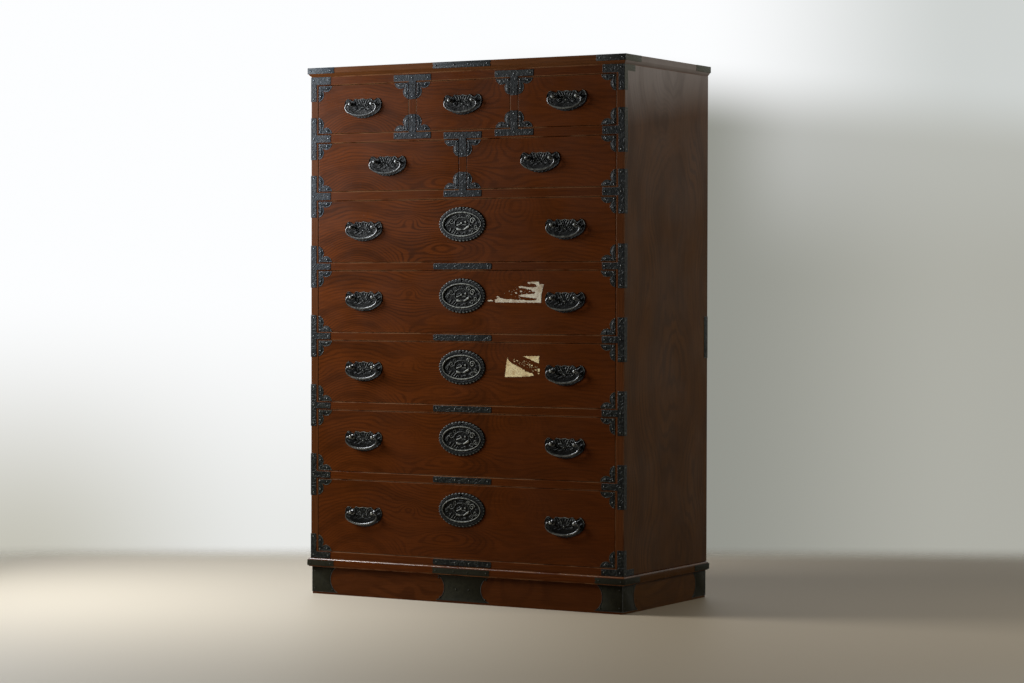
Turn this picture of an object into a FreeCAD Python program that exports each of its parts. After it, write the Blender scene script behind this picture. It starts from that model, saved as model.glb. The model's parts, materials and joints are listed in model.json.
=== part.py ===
import FreeCAD, Part
import math
import os
import re
from collections import namedtuple
from FreeCAD import Placement, Rotation, Vector

# Clothing chest of seven drawer rows on a low plinth, with iron plates, lock plates and
# swinging bails. Millimetres. X to the right, Y to the back, Z up. The origin lies on the
# floor, in the middle of the whole chest's width and depth.

SIZES = {
    # Case, seen from the front
    "case_width": 1000,
    "case_depth": 498,
    "side_wall": 24,
    "divider_wall": 24,
    "back_wall": 10,
    "back_rebate": 12,
    "shelf_wall": 10,
    "rail_depth": 36,
    # Plinth: the ledge board on its four skirt boards
    "skirt_height": 77,
    "skirt_inset": 3,
    "skirt_wall": 20,
    "ledge_height": 24,
    "ledge_overhang": 7,
    "ledge_round": 5,
    "ledge_under_round": 3,
    # Cap board
    "cap_height": 26,
    "cap_overhang": 7,
    "cap_bevel": 7,
    # Heights of the openings and of the rails between them
    "base_rail_height": 20.5,
    "base_row_height": 205.5,
    "wide_row_height": 173.5,
    "small_row_height": 137,
    "lower_rail_height": 22,
    "upper_rail_height": 25.5,
    "top_rail_height": 24,
    # Drawers
    "front_gap": 1.2,
    "front_wall": 20,
    "front_bevel": 1,
    "box_wall": 9,
    "box_floor": 6,
    "box_side_gap": 1.5,
    "box_rest_gap": 0.3,
    "box_head_gap": 8,
    "box_end_gap": 4,
    # Iron sheet and the plates that wrap the frame
    "iron_sheet": 1.2,
    "iron_margin": 2,
    "stile_iron_width": 18,
    "post_iron_margin": 1,
    "tee_height": 118,
    "arm_reach": 66,
    "elbow_height": 69,
    "side_wrap": 18,
    "leaf_length": 60,
    "leaf_height": 17,
    "divider_arm": 121,
    "divider_stem": 48,
    "rail_strap_length": 187,
    "rail_strap_height": 17,
    "rail_strap_clip": 3,
    "rear_strap_height": 116,
    "rear_strap_width": 22,
    # Irons on the cap and on the plinth
    "cap_strap_length": 186,
    "cap_corner_leg": 90,
    "cap_iron_height": 17,
    "iron_fishtail": 5,
    "ledge_strap_length": 184,
    "ledge_corner_leg": 90,
    "ledge_iron_height": 16,
    "skirt_leg_top": 80,
    "skirt_leg_waist": 62,
    "skirt_leg_foot": 86,
    "skirt_iron_lift": 6,
    "skirt_plate_top": 176,
    "skirt_plate_waist": 118,
    "skirt_plate_foot": 172,
    # Two-lobed plate on each corner of a drawer
    "lobe_arm": 44,
    "lobe_peak": 27,
    "lobe_depth": 15.8,
    "lobe_cusp": 11,
    # Backplate of a bail, measured from the pivot line
    "grip_plate_width": 124,
    "grip_plate_above": 16,
    "grip_plate_below": 40,
    "grip_plate_tooth": 1.8,
    # Middle of a wide drawer's bail, measured from the end of its opening
    "grip_inset": 154,
    # Posts and bail
    "post_offset": 36,
    "post_radius": 4.6,
    "post_reach": 16,
    "pivot_reach": 12.4,
    "pin_radius": 2,
    "pin_gap": 0.3,
    "pin_tail": 6,
    "bail_half_width": 51,
    "bail_drop": 31.5,
    "bail_shoulder": 7,
    "bail_depth": 5.8,
    "bail_width": 6.2,
    "bail_end_width": 4.8,
    "bail_bevel": 1.6,
    # Oval lock plate of a wide drawer
    "lock_width": 149,
    "lock_height": 96.5,
    "lock_tooth": 1.3,
    "lock_sheet": 1.6,
    "lock_below_rail": 69.6,
    "ring_width": 124,
    "ring_height": 68,
    "ring_band": 4,
    "ring_rise": 3.6,
    "boss_width": 48,
    "boss_height": 32,
    "boss_rise": 3.8,
    "boss_lift": 2.5,
    "keyhole_radius": 3.2,
    "keyhole_lift": 40.5,
}

# Counts: teeth, and the flats that stand for a round stretch
LOCK_TEETH = 38
GRIP_TEETH = 8
OVAL_SIDES = 20
POST_SIDES = 8
PIN_SIDES = 6
LOBE_STEPS = 4
WAIST_STEPS = 6
BOW_STEPS = 8
ELBOW_STEPS = 1

# Right half of a backplate's upper edge from its middle outwards, as shares of the half width
# and of the height above the pivot: peak, shallow valley, peak, deep valley, end lobe.
GRIP_TOP_SHARES = ((0, 1), (0.12, 0.76), (0.25, 0.74), (0.38, 1), (0.45, 0.9), (0.54, 0.45), (0.7, 0.86),
                   (0.81, 1), (0.9, 0.9))
# Its round end down to the lower corner, as shares of the half width and of the height below.
GRIP_END_SHARES = ((1, 0), (0.98, -0.24), (0.86, -0.52), (0.74, -0.64))

doc = FreeCAD.newDocument("chest")
sheet = doc.addObject("Spreadsheet::Sheet", "sizes")
for line, (alias, size) in enumerate(SIZES.items(), 1):
    sheet.set(f"A{line}", alias)
    sheet.set(f"B{line}", str(size))
    sheet.setAlias(f"B{line}", alias)
doc.recompute()

nodes = []


def formula(text):
    """The text with each named size read from the sheet."""
    def from_sheet(word):
        return f"sizes.{word.group()}" if word.group() in SIZES else word.group()
    return re.sub(r"[a-z_]+", from_sheet, text)


def amount(text):
    return float(sheet.evalExpression(formula(text)))


def bind(item, **texts):
    for name, text in texts.items():
        item.setExpression(name, formula(text))
    return item


def place(item, x="0", y="0", z="0", turn=None):
    """Put an item at a point given by formulas, after an optional rotation."""
    item.Placement = Placement(Vector(), turn or Rotation())
    for axis, text in zip("xyz", (x, y, z)):
        item.setExpression(f"Placement.Base.{axis}", formula(text))
    return item


def node(item, name):
    """Name a finished piece: the label is its file's name."""
    item.Label = name
    nodes.append(item)
    return item


def box(name, length, width, height, x, y, z):
    """A board with its lower front left corner at x, y, z."""
    item = bind(doc.addObject("Part::Box", name), Length=length, Width=width, Height=height)
    return place(item, x, y, z)


def group(name, items):
    item = doc.addObject("Part::Compound", name)
    item.Links = items
    return item


def reflection(source, name):
    """The mirror image of an item on the other side of the chest."""
    item = doc.addObject("Part::Mirroring", name)
    item.Source = source
    item.Normal = Vector(1, 0, 0)
    return item


def copy_of(source, name, x="0", y="0", z="0", turn=None):
    item = doc.addObject("App::Link", name)
    item.LinkedObject = source
    return place(item, x, y, z, turn)


def loop(points):
    """Lines from point to point of a sketch's plane, and back to the first."""
    corners = [Vector(*point, 0) for point in points]
    return [Part.LineSegment(here, there) for here, there in zip(corners, corners[1:] + corners[:1])]


def bend(start, way, end, steps):
    """Points along the arc from a start over a way point to an end, the start left out."""
    arc = Part.Arc(Vector(*start, 0), Vector(*way, 0), Vector(*end, 0))
    sweep = arc.LastParameter - arc.FirstParameter
    points = [arc.value(arc.FirstParameter + sweep * step / steps) for step in range(1, steps + 1)]
    return [(point.x, point.y) for point in points]


def mirrored(points):
    """The same points on the other side, in the order that goes on from the last."""
    return [(-x, z) for x, z in reversed(points)]


def pad(body, name, edges, thickness):
    """Pad an outline in the XZ plane towards the front."""
    plane = next(item for item in body.Origin.OriginFeatures if item.Role == "XZ_Plane")
    sketch = body.newObject("Sketcher::SketchObject", f"{name}_outline")
    sketch.AttachmentSupport = [(plane, "")]
    sketch.MapMode = "FlatFace"
    sketch.addGeometry(edges, False)
    feature = body.newObject("PartDesign::Pad", f"{name}_pad")
    feature.Profile = sketch
    return bind(feature, Length=thickness)


def plate(name, edges, thickness="iron_sheet"):
    """A flat plate whose back lies in the XZ plane."""
    body = doc.addObject("PartDesign::Body", name)
    pad(body, name, edges, thickness)
    return body


def shaped_board(name, length, width, height):
    """A body with one plain board at its own origin, ready for rounds and bevels."""
    body = doc.addObject("PartDesign::Body", name)
    board = body.newObject("PartDesign::AdditiveBox", f"{name}_board")
    bind(board, Length=length, Width=width, Height=height)
    doc.recompute()
    return body, board


def dress(body, base, kind, name, edges, size):
    """Round or bevel the edges of a board."""
    feature = body.newObject(f"PartDesign::{kind}", name)
    feature.Base = (base, edges)
    bind(feature, **{"Radius" if kind == "Fillet" else "Size": size})
    doc.recompute()
    return feature


# Planes and levels, as formulas
FRONT = "(post_reach - case_depth) / 2"
REAR = f"{FRONT} + case_depth"
CASE_BASE = "skirt_height + ledge_height"
ROW_HEIGHTS = ("base_row_height + 4 * wide_row_height + 2 * small_row_height"
               " + base_rail_height + 4 * lower_rail_height + 2 * upper_rail_height")
CAP_BASE = f"{CASE_BASE} + {ROW_HEIGHTS} + top_rail_height"
INNER_WIDTH = "(case_width - 2 * side_wall)"

Row = namedtuple("Row", "name height rail floor columns")
ROW_PLAN = (
    ("bottom", "base_row_height", "lower_rail_height", ("",)),
    ("sixth", "wide_row_height", "lower_rail_height", ("",)),
    ("fifth", "wide_row_height", "lower_rail_height", ("",)),
    ("fourth", "wide_row_height", "lower_rail_height", ("",)),
    ("third", "wide_row_height", "upper_rail_height", ("",)),
    ("second", "small_row_height", "upper_rail_height", ("_left", "_right")),
    ("top", "small_row_height", "top_rail_height", ("_left", "_middle", "_right")),
)


def stacked_rows():
    """Rows from the bottom up, each with the level of its floor."""
    rows = []
    floor = f"{CASE_BASE} + base_rail_height"
    for name, height, rail, columns in ROW_PLAN:
        rows.append(Row(name, height, rail, floor, columns))
        floor = f"{floor} + {height} + {rail}"
    return rows


def opening_width(row):
    """The width of one opening of a row."""
    count = len(row.columns)
    return f"({INNER_WIDTH} - {count - 1} * divider_wall) / {count}"


def opening_centre(row, column):
    middle = (len(row.columns) - 1) / 2
    return f"{column - middle} * ({opening_width(row)} + divider_wall)"


# The case

def build_case(rows):
    """Sides with the back's rebate, back, rails, shelves and dividers."""
    half = amount("case_width / 2")
    inner = half - amount("side_wall")
    depth = amount("case_depth")
    rebate = amount("back_rebate")
    back = amount("back_wall")
    section = loop(((half, 0), (half, depth), (inner + rebate, depth),
                    (inner + rebate, depth - back), (inner, depth - back), (inner, 0)))
    side = doc.addObject("PartDesign::Body", "side_right")
    plane = next(item for item in side.Origin.OriginFeatures if item.Role == "XY_Plane")
    sketch = side.newObject("Sketcher::SketchObject", "side_section")
    sketch.AttachmentSupport = [(plane, "")]
    sketch.MapMode = "FlatFace"
    sketch.addGeometry(section, False)
    side_pad = side.newObject("PartDesign::Pad", "side_pad")
    side_pad.Profile = sketch
    bind(side_pad, Length=f"{ROW_HEIGHTS} + top_rail_height")
    place(side, y=FRONT, z=CASE_BASE)
    node(side, "side_panel_right")
    node(reflection(side, "side_left"), "side_panel_left")

    back_width = f"{INNER_WIDTH} + 2 * back_rebate"
    node(box("back", back_width, "back_wall", f"{ROW_HEIGHTS} + top_rail_height",
             f"-({back_width}) / 2", f"{REAR} - back_wall", CASE_BASE), "back_panel")

    def across(name, depth, height, y, z):
        return box(name, INNER_WIDTH, depth, height, f"-{INNER_WIDTH} / 2", y, z)

    shelf_depth = "case_depth - back_wall - rail_depth"
    shelf_front = f"{FRONT} + rail_depth"
    rails = [across("rail_base", "rail_depth", "base_rail_height", FRONT, CASE_BASE)]
    shelves = []
    dividers = []
    for row in rows:
        ceiling = f"{row.floor} + {row.height}"
        rails.append(across(f"rail_{row.name}", "rail_depth", row.rail, FRONT, ceiling))
        shelves.append(across(f"shelf_{row.name}", shelf_depth, "shelf_wall", shelf_front,
                              f"{row.floor} - shelf_wall"))
        for gap in range(1, len(row.columns)):
            centre = f"{opening_centre(row, gap)} - ({opening_width(row)} + divider_wall) / 2"
            dividers.append(box(f"divider_{row.name}_{gap}", "divider_wall", "case_depth - back_wall",
                                row.height, f"{centre} - divider_wall / 2", FRONT, row.floor))
    node(group("rails", rails), "front_rails")
    node(group("shelves", shelves), "shelf_boards")
    node(group("dividers", dividers), "drawer_dividers")


def build_cap():
    body, board = shaped_board("cap", "case_width + 2 * cap_overhang", "case_depth + cap_overhang",
                               "cap_height")
    dress(body, board, "Chamfer", "cap_bevel_cut", ["Edge4", "Edge8", "Edge9"], "cap_bevel")
    place(body, "-case_width / 2 - cap_overhang", f"{FRONT} - cap_overhang", CAP_BASE)
    node(body, "top_board")


def build_plinth():
    body, board = shaped_board("ledge", "case_width + 2 * ledge_overhang",
                               "case_depth + ledge_overhang", "ledge_height")
    upper = dress(body, board, "Fillet", "ledge_upper_round", ["Edge2", "Edge6", "Edge10"], "ledge_round")
    lower = []
    for number, edge in enumerate(upper.Shape.Edges, 1):
        bounds = edge.BoundBox
        long_edge = bounds.DiagonalLength > amount("case_depth / 2")
        at_back = bounds.YMin > amount("case_depth")
        if long_edge and bounds.ZMax < amount("ledge_round / 2") and not at_back:
            lower.append(f"Edge{number}")
    dress(body, upper, "Fillet", "ledge_lower_round", lower, "ledge_under_round")
    place(body, "-case_width / 2 - ledge_overhang", f"{FRONT} - ledge_overhang", "skirt_height")
    node(body, "plinth_ledge")

    width = "(case_width - 2 * skirt_inset)"
    front = f"{FRONT} + skirt_inset"
    depth = "(case_depth - 2 * skirt_inset)"
    boards = [
        box("skirt_front", width, "skirt_wall", "skirt_height", f"-{width} / 2", front, "0"),
        box("skirt_back", width, "skirt_wall", "skirt_height", f"-{width} / 2",
            f"{front} + {depth} - skirt_wall", "0"),
    ]
    for side, x in (("left", f"-{width} / 2"), ("right", f"{width} / 2 - skirt_wall")):
        boards.append(box(f"skirt_{side}", "skirt_wall", f"{depth} - 2 * skirt_wall", "skirt_height",
                          x, f"{front} + skirt_wall", "0"))
    node(group("skirt", boards), "plinth_skirt")


# Irons of the frame. Each wrapped plate has its origin on the front right edge of the case.

def wrapped(name, edges, low, height, leaf_low=None):
    """A front plate joined to a strip on the side, and to a leaf where one is given."""
    front = plate(f"{name}_face", edges)
    strip = box(f"{name}_strip", "iron_sheet", "side_wrap + iron_sheet", height, "0", "-iron_sheet", low)
    joined = doc.addObject("Part::MultiFuse", name)
    pieces = [front, strip]
    if leaf_low:
        pieces.append(box(f"{name}_leaf", "iron_sheet", "leaf_length + iron_sheet", "leaf_height",
                          "0", "-iron_sheet", leaf_low))
    joined.Shapes = pieces
    joined.Refine = True
    return joined


def frame_tee(name, rail):
    """A tee on the stile with its arm on the rail, its origin at the rail's middle."""
    top = amount("tee_height / 2")
    inner = -amount("stile_iron_width")
    end = -amount("arm_reach")
    arm = amount(f"{rail} / 2 - iron_margin")
    outline = loop(((0, top), (inner, top), (inner, arm), (end, arm), (end, -arm), (inner, -arm),
                    (inner, -top), (0, -top)))
    return wrapped(name, outline, "-tee_height / 2", "tee_height")


def frame_elbow(name, rail, upward):
    """An L at the top or the foot of the stile, its origin at the arm's outer corner."""
    inner = -amount("stile_iron_width")
    end = -amount("arm_reach")
    arm = amount(f"{rail} - iron_margin")
    tall = amount("elbow_height")
    sense = 1 if upward else -1
    points = ((0, 0), (end, 0), (end, arm), (inner, arm), (inner, tall), (0, tall))
    outline = loop([(x, sense * z) for x, z in points])
    low = "0" if upward else "-elbow_height"
    leaf_low = "0" if upward else "-leaf_height"
    return wrapped(name, outline, low, "elbow_height", leaf_low)


def build_frame_irons(rows):
    """Plates on the right stile, and their mirror image on the left one."""
    tees = {rail: frame_tee(f"tee_{rail}", rail) for rail in ("lower_rail_height", "upper_rail_height")}
    pieces = []
    edge = "case_width / 2"
    for row in rows[:-1]:
        middle = f"{row.floor} + {row.height} + {row.rail} / 2"
        pieces.append(copy_of(tees[row.rail], f"tee_{row.name}", edge, FRONT, middle))
    top = frame_elbow("elbow_top", "top_rail_height", False)
    foot = frame_elbow("elbow_foot", "base_rail_height", True)
    pieces.append(place(top, edge, FRONT, CAP_BASE))
    pieces.append(place(foot, edge, FRONT, CASE_BASE))
    middle_row = rows[2]
    rear_level = f"{middle_row.floor} + {middle_row.height} + {middle_row.rail} / 2"
    pieces.append(box("rear_strap", "iron_sheet", "rear_strap_width", "rear_strap_height", edge,
                      f"{REAR} - rear_strap_width", f"{rear_level} - rear_strap_height / 2"))
    right = node(group("irons_right", pieces), "frame_irons_right")
    node(reflection(right, "irons_left"), "frame_irons_left")


def build_divider_irons(rows):
    """Tees on the dividers' ends, with the arm on the rail above or below."""
    arm = amount("divider_arm / 2")
    stem = amount("(divider_wall - post_iron_margin) / 2")
    low = amount("iron_margin")
    bar = amount("top_rail_height - 2 * iron_margin")
    tail = -amount("divider_stem")
    half = [(0, bar), (arm, bar), (arm, low), (stem, low), (stem, tail)]
    tee = plate("divider_tee", loop(half + mirrored(half[1:])))
    pieces = []
    for row in rows[-2:]:
        for gap in range(1, len(row.columns)):
            centre = f"{opening_centre(row, gap)} - ({opening_width(row)} + divider_wall) / 2"
            ceiling = f"{row.floor} + {row.height}"
            pieces.append(copy_of(tee, f"tee_over_{row.name}_{gap}", centre, FRONT, ceiling))
            pieces.append(copy_of(tee, f"tee_under_{row.name}_{gap}", centre, FRONT, row.floor,
                                  Rotation(Vector(0, 1, 0), 180)))
    node(group("divider_plates", pieces), "divider_irons")


def clipped_bar(length, height, clip):
    """A bar's outline about its middle, with clipped corners."""
    x = amount(length) / 2
    z = amount(height) / 2
    c = amount(clip)
    return loop(((x - c, z), (x, z - c), (x, c - z), (x - c, -z), (c - x, -z), (-x, c - z), (-x, z - c),
                 (c - x, z)))


def build_rail_irons(rows):
    """Straps on the middle of the lower rails and of the base rail."""
    strap = plate("rail_strap", clipped_bar("rail_strap_length", "rail_strap_height", "rail_strap_clip"))
    levels = [f"{CASE_BASE} + base_rail_height / 2"]
    for row in rows:
        if row.rail == "lower_rail_height":
            levels.append(f"{row.floor} + {row.height} + {row.rail} / 2")
    pieces = [copy_of(strap, f"rail_strap_{number}", "0", FRONT, level)
              for number, level in enumerate(levels)]
    node(group("rail_straps", pieces), "rail_irons")


def fishtail_leg(leg, height):
    """A leg from the corner to a forked end, its lower edge on the X axis."""
    end = -amount(leg)
    top = amount(height)
    notch = amount("iron_fishtail")
    return loop(((0, 0), (end + notch / 2, 0), (end, top / 4), (end + notch, top / 2),
                 (end, 3 * top / 4), (end + notch / 2, top), (0, top)))


def double_ended(name, length, height):
    """A strap with a forked end each way, its lower edge on the X axis."""
    x = amount(length) / 2
    top = amount(height)
    notch = amount("iron_fishtail")
    right = [(x - notch / 2, 0), (x, top / 4), (x - notch, top / 2), (x, 3 * top / 4), (x - notch / 2, top)]
    return plate(name, loop(right + mirrored(right)))


def angle_iron(name, edges):
    """Two like legs joined round a corner, towards -X on the front and +Y on the side."""
    leg = plate(f"{name}_leg", edges)
    other = copy_of(leg, f"{name}_other_leg", "iron_sheet", "-iron_sheet", "0",
                    Rotation(Vector(0, 0, 1), -90))
    joined = doc.addObject("Part::MultiFuse", name)
    joined.Shapes = [leg, other]
    joined.Refine = True
    return joined


def four_corners(iron, name, x, front, rear, z):
    """An angle iron turned to each corner of the chest."""
    corners = (("front_right", x, front, 0), ("rear_right", x, rear, 90),
               ("rear_left", f"-({x})", rear, 180), ("front_left", f"-({x})", front, 270))
    return [copy_of(iron, f"{name}_{corner}", cx, cy, z, Rotation(Vector(0, 0, 1), angle))
            for corner, cx, cy, angle in corners]


def build_cap_irons():
    corner = angle_iron("cap_corner", fishtail_leg("cap_corner_leg", "cap_iron_height"))
    strap = double_ended("cap_strap", "cap_strap_length", "cap_iron_height")
    level = f"{CAP_BASE} + cap_height - cap_iron_height"
    front = f"{FRONT} - cap_overhang"
    pieces = four_corners(corner, "cap_iron", "case_width / 2 + cap_overhang", front, REAR, level)
    pieces.append(place(strap, "0", front, level))
    node(group("cap_plates", pieces), "cap_irons")


def build_plinth_irons():
    """Corner irons and middle plates on the ledge and on the skirt."""
    ledge_level = "skirt_height + (ledge_height - ledge_iron_height + ledge_under_round - ledge_round) / 2"
    ledge_front = f"{FRONT} - ledge_overhang"
    ledge_corner = angle_iron("ledge_corner", fishtail_leg("ledge_corner_leg", "ledge_iron_height"))
    pieces = four_corners(ledge_corner, "ledge_iron", "case_width / 2 + ledge_overhang", ledge_front,
                          REAR, ledge_level)
    ledge_strap = double_ended("ledge_strap", "ledge_strap_length", "ledge_iron_height")
    pieces.append(place(ledge_strap, "0", ledge_front, ledge_level))

    low = amount("skirt_iron_lift")
    high = amount("skirt_height")
    waist = (low + high) / 2
    edge = ((-amount("skirt_leg_top"), high), (-amount("skirt_leg_waist"), waist),
            (-amount("skirt_leg_foot"), low))
    leg = [(0, low), (0, high), edge[0]] + bend(*edge, WAIST_STEPS)
    skirt_corner = angle_iron("skirt_corner", loop(leg))
    skirt_front = f"{FRONT} + skirt_inset"
    pieces += four_corners(skirt_corner, "skirt_iron", "case_width / 2 - skirt_inset", skirt_front,
                           f"{REAR} - skirt_inset", "0")
    top, middle, foot = (amount(f"skirt_plate_{part} / 2") for part in ("top", "waist", "foot"))
    right = [(top, high)] + bend((top, high), (middle, waist), (foot, low), WAIST_STEPS)
    pieces.append(place(plate("skirt_plate", loop(right + mirrored(right))), "0", skirt_front, "0"))
    node(group("plinth_plates", pieces), "plinth_irons")


# Fittings of the drawers

def lobed_corner():
    """The two-lobed plate for a drawer's lower left corner."""
    arm = (amount("lobe_arm"), 0)
    peak = (amount("lobe_peak"), amount("lobe_depth"))
    cusp = (amount("lobe_cusp"), amount("lobe_cusp"))
    lobe = [arm] + bend(arm, peak, cusp, LOBE_STEPS)
    upper_lobe = [(z, x) for x, z in reversed(lobe[:-1])]
    return plate("lobed_corner", loop([(0, 0)] + lobe + upper_lobe))


def grip_plate():
    """Five upper peaks, round ends and a toothed lower edge, about the pivot line."""
    half = amount("grip_plate_width / 2")
    above = amount("grip_plate_above")
    below = amount("grip_plate_below")
    right = [(x * half, z * above) for x, z in GRIP_TOP_SHARES]
    right += [(x * half, z * below) for x, z in GRIP_END_SHARES]
    corner_x, corner_z = right[-1]
    for step in range(1, GRIP_TEETH):
        x = corner_x * (1 - step / GRIP_TEETH)
        bow = 1 - (x / corner_x) ** 2
        recess = 0 if step % 2 else amount("grip_plate_tooth") * bow
        right.append((x, corner_z - (below + corner_z) * bow + recess))
    foot = (0, amount("grip_plate_tooth") - below)
    return plate("grip_plate", loop(right + [foot] + mirrored(right[1:])))


def flat_sided(name, sides, radius, height, x, y, z, turn):
    """A bar with flat sides, from a point along its turned axis."""
    bar = doc.addObject("Part::Prism", name)
    bar.Polygon = sides
    bind(bar, Circumradius=radius, Height=height)
    return place(bar, x, y, z, turn * Rotation(Vector(0, 0, 1), 180 / sides))


def grip_mount():
    """A backplate with its two bored posts, on the drawer front's plane."""
    pieces = [grip_plate()]
    ahead = Rotation(Vector(1, 0, 0), 90)
    sideways = Rotation(Vector(0, 1, 0), 90)
    for side, x in (("left", "-post_offset"), ("right", "post_offset")):
        post = doc.addObject("Part::Cut", f"post_{side}")
        post.Base = flat_sided(f"stem_{side}", POST_SIDES, "post_radius", "post_reach", x,
                               "-iron_sheet", "0", ahead)
        bore = f"(pin_radius + pin_gap) / cos({180 / PIN_SIDES})"
        post.Tool = flat_sided(f"bore_{side}", PIN_SIDES, bore, "4 * post_radius",
                               f"{x} - 2 * post_radius", "-pivot_reach", "0", sideways)
        pieces.append(post)
    return group("grip_mount", pieces)


def bail_line():
    """Points and half widths along the bail, from its right pin's end round to its left one's."""
    wide = amount("bail_half_width")
    shoulder = amount("bail_shoulder")
    bow = amount("bail_drop") - shoulder
    thin = amount("bail_end_width / 2")
    thick = amount("bail_width / 2")
    half = [(amount("post_offset - pin_tail"), 0, thin)]
    for step in range(ELBOW_STEPS + 1):
        angle = math.pi / 2 * step / (ELBOW_STEPS + 1)
        half.append((wide - shoulder + shoulder * math.sin(angle), shoulder * (math.cos(angle) - 1), thin))
    for step in range(BOW_STEPS // 2):
        angle = math.pi * step / BOW_STEPS
        half.append((wide * math.cos(angle), -shoulder - bow * math.sin(angle),
                     thin + (thick - thin) * math.sin(angle)))
    return half + [(0, -shoulder - bow, thick)] + [(-x, z, width) for x, z, width in reversed(half)]


def bail():
    """A bevelled bar bent to the bail's curve, below the pivot line, with a pin at each end."""
    line = bail_line()
    outer = []
    inner = []
    for before, here, after in zip(line, line[1:], line[2:]):
        arriving = math.atan2(here[1] - before[1], here[0] - before[0])
        leaving = math.atan2(after[1] - here[1], after[0] - here[0])
        turn = (leaving - arriving + math.pi) % (2 * math.pi) - math.pi
        heading = arriving + turn / 2
        if before is line[0] or after is line[-1]:
            heading = turn = 0
        reach = here[2] / math.cos(turn / 2)
        across = (-reach * math.sin(heading), reach * math.cos(heading))
        outer.append((here[0] + across[0], here[1] + across[1]))
        inner.append((here[0] - across[0], here[1] - across[1]))
    body = doc.addObject("PartDesign::Body", "bail")
    bow = pad(body, "bow", loop(outer + inner[::-1]), "bail_depth")
    doc.recompute()
    flats = [f"Face{number}" for number, face in enumerate(bow.Shape.Faces, 1)
             if face.BoundBox.YLength < amount("bail_bevel")]
    dress(body, bow, "Chamfer", "bow_bevel", flats, "bail_bevel")
    for side, x in (("left", "bail_shoulder - bail_half_width"), ("right", "post_offset - pin_tail")):
        pin = body.newObject("PartDesign::AdditivePrism", f"pin_{side}")
        pin.Polygon = PIN_SIDES
        bind(pin, Circumradius="pin_radius",
             Height="bail_half_width - bail_shoulder - post_offset + pin_tail")
        place(pin, x, "-bail_depth / 2", "0", Rotation(Vector(0, 1, 0), 90))
    return body


def oval(width, height, sides=OVAL_SIDES, lift=0, tooth=0):
    """An oval outline; every other corner is drawn in by the tooth."""
    points = []
    for number in range(sides):
        angle = 2 * math.pi * number / sides
        inward = tooth if number % 2 else 0
        x = (width / 2 - inward) * math.cos(angle)
        z = (height / 2 - inward) * math.sin(angle)
        points.append((x, z + lift))
    return loop(points)


def lock_plate():
    """A toothed oval plate with a raised ring, a low boss and a keyhole above."""
    body = doc.addObject("PartDesign::Body", "lock_plate")
    rim = oval(amount("lock_width"), amount("lock_height"), 2 * LOCK_TEETH, tooth=amount("lock_tooth"))
    hole = amount("2 * keyhole_radius")
    keyhole = oval(hole, hole, POST_SIDES, amount("keyhole_lift"))
    pad(body, "lock_base", rim + keyhole, "lock_sheet")
    width = amount("ring_width")
    height = amount("ring_height")
    band = 2 * amount("ring_band")
    pad(body, "lock_ring", oval(width, height) + oval(width - band, height - band), "ring_rise")
    boss = oval(amount("boss_width"), amount("boss_height"), lift=amount("boss_lift"))
    pad(body, "lock_boss", boss, "boss_rise")
    return body


def build_drawers(rows):
    """Every drawer: front, box, irons and bails."""
    corner = lobed_corner()
    mount = grip_mount()
    bent = bail()
    lock = lock_plate()
    # A quarter turn about -Y takes the lower left corner to the next corner round.
    corner_turns = ((-1, "floor", 0), (1, "floor", -90), (1, "ceiling", 180), (-1, "ceiling", 90))
    for row in rows:
        for column, side in enumerate(row.columns):
            name = f"drawer_{row.name}{side}"
            width = f"({opening_width(row)})"
            centre = f"({opening_centre(row, column)})"
            front_width = f"({width} - 2 * front_gap)"
            front_height = f"({row.height} - 2 * front_gap)"
            body, board = shaped_board(f"{name}_face", front_width, "front_wall", front_height)
            dress(body, board, "Chamfer", f"{name}_bevel", ["Edge1", "Edge5", "Edge9", "Edge10"],
                  "front_bevel")
            place(body, f"{centre} - {front_width} / 2", FRONT, f"{row.floor} + front_gap")
            node(body, f"{name}_front")

            outer = f"({width} - 2 * box_side_gap)"
            back = f"{FRONT} + front_wall"
            length = "(case_depth - back_wall - front_wall - box_end_gap)"
            low = f"{row.floor} + box_rest_gap"
            tall = f"({row.height} - box_head_gap)"
            inner = f"({outer} - 2 * box_wall)"
            boards = [
                box(f"{name}_left", "box_wall", length, tall, f"{centre} - {outer} / 2", back, low),
                box(f"{name}_right", "box_wall", length, tall, f"{centre} + {outer} / 2 - box_wall", back,
                    low),
                box(f"{name}_back", inner, "box_wall", tall, f"{centre} - {inner} / 2",
                    f"{back} + {length} - box_wall", low),
                box(f"{name}_floor", inner, f"{length} - box_wall", "box_floor", f"{centre} - {inner} / 2",
                    back, low),
            ]
            node(group(f"{name}_boards", boards), f"{name}_box")

            irons = []
            for number, (way, level, angle) in enumerate(corner_turns):
                height = row.floor if level == "floor" else f"{row.floor} + {row.height}"
                inset = "+ front_gap + front_bevel" if level == "floor" else "- front_gap - front_bevel"
                x = f"{centre} + {way} * ({front_width} / 2 - front_bevel)"
                irons.append(copy_of(corner, f"{name}_corner_{number}", x, FRONT, f"{height} {inset}",
                                     Rotation(Vector(0, 1, 0), angle)))
            pivot = f"{row.floor} + ({row.height} + grip_plate_below - grip_plate_above) / 2"
            if len(row.columns) > 1:
                grips = ((side, centre),)
            else:
                offset = f"({width} / 2 - grip_inset)"
                grips = (("_left", f"{centre} - {offset}"), ("_right", f"{centre} + {offset}"))
                lock_level = f"{row.floor} + {row.height} - lock_below_rail"
                irons.append(copy_of(lock, f"{name}_lock", centre, FRONT, lock_level))
            for grip_side, x in grips:
                irons.append(copy_of(mount, f"{name}_mount{grip_side}", x, FRONT, pivot))
            node(group(f"{name}_plates", irons), f"{name}_irons")
            for grip_side, x in grips:
                hanging = group(f"bail_{row.name}{grip_side}_bar", [bent])
                place(hanging, x, f"{FRONT} - pivot_reach + bail_depth / 2", pivot)
                node(hanging, f"bail_{row.name}{grip_side}")


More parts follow.
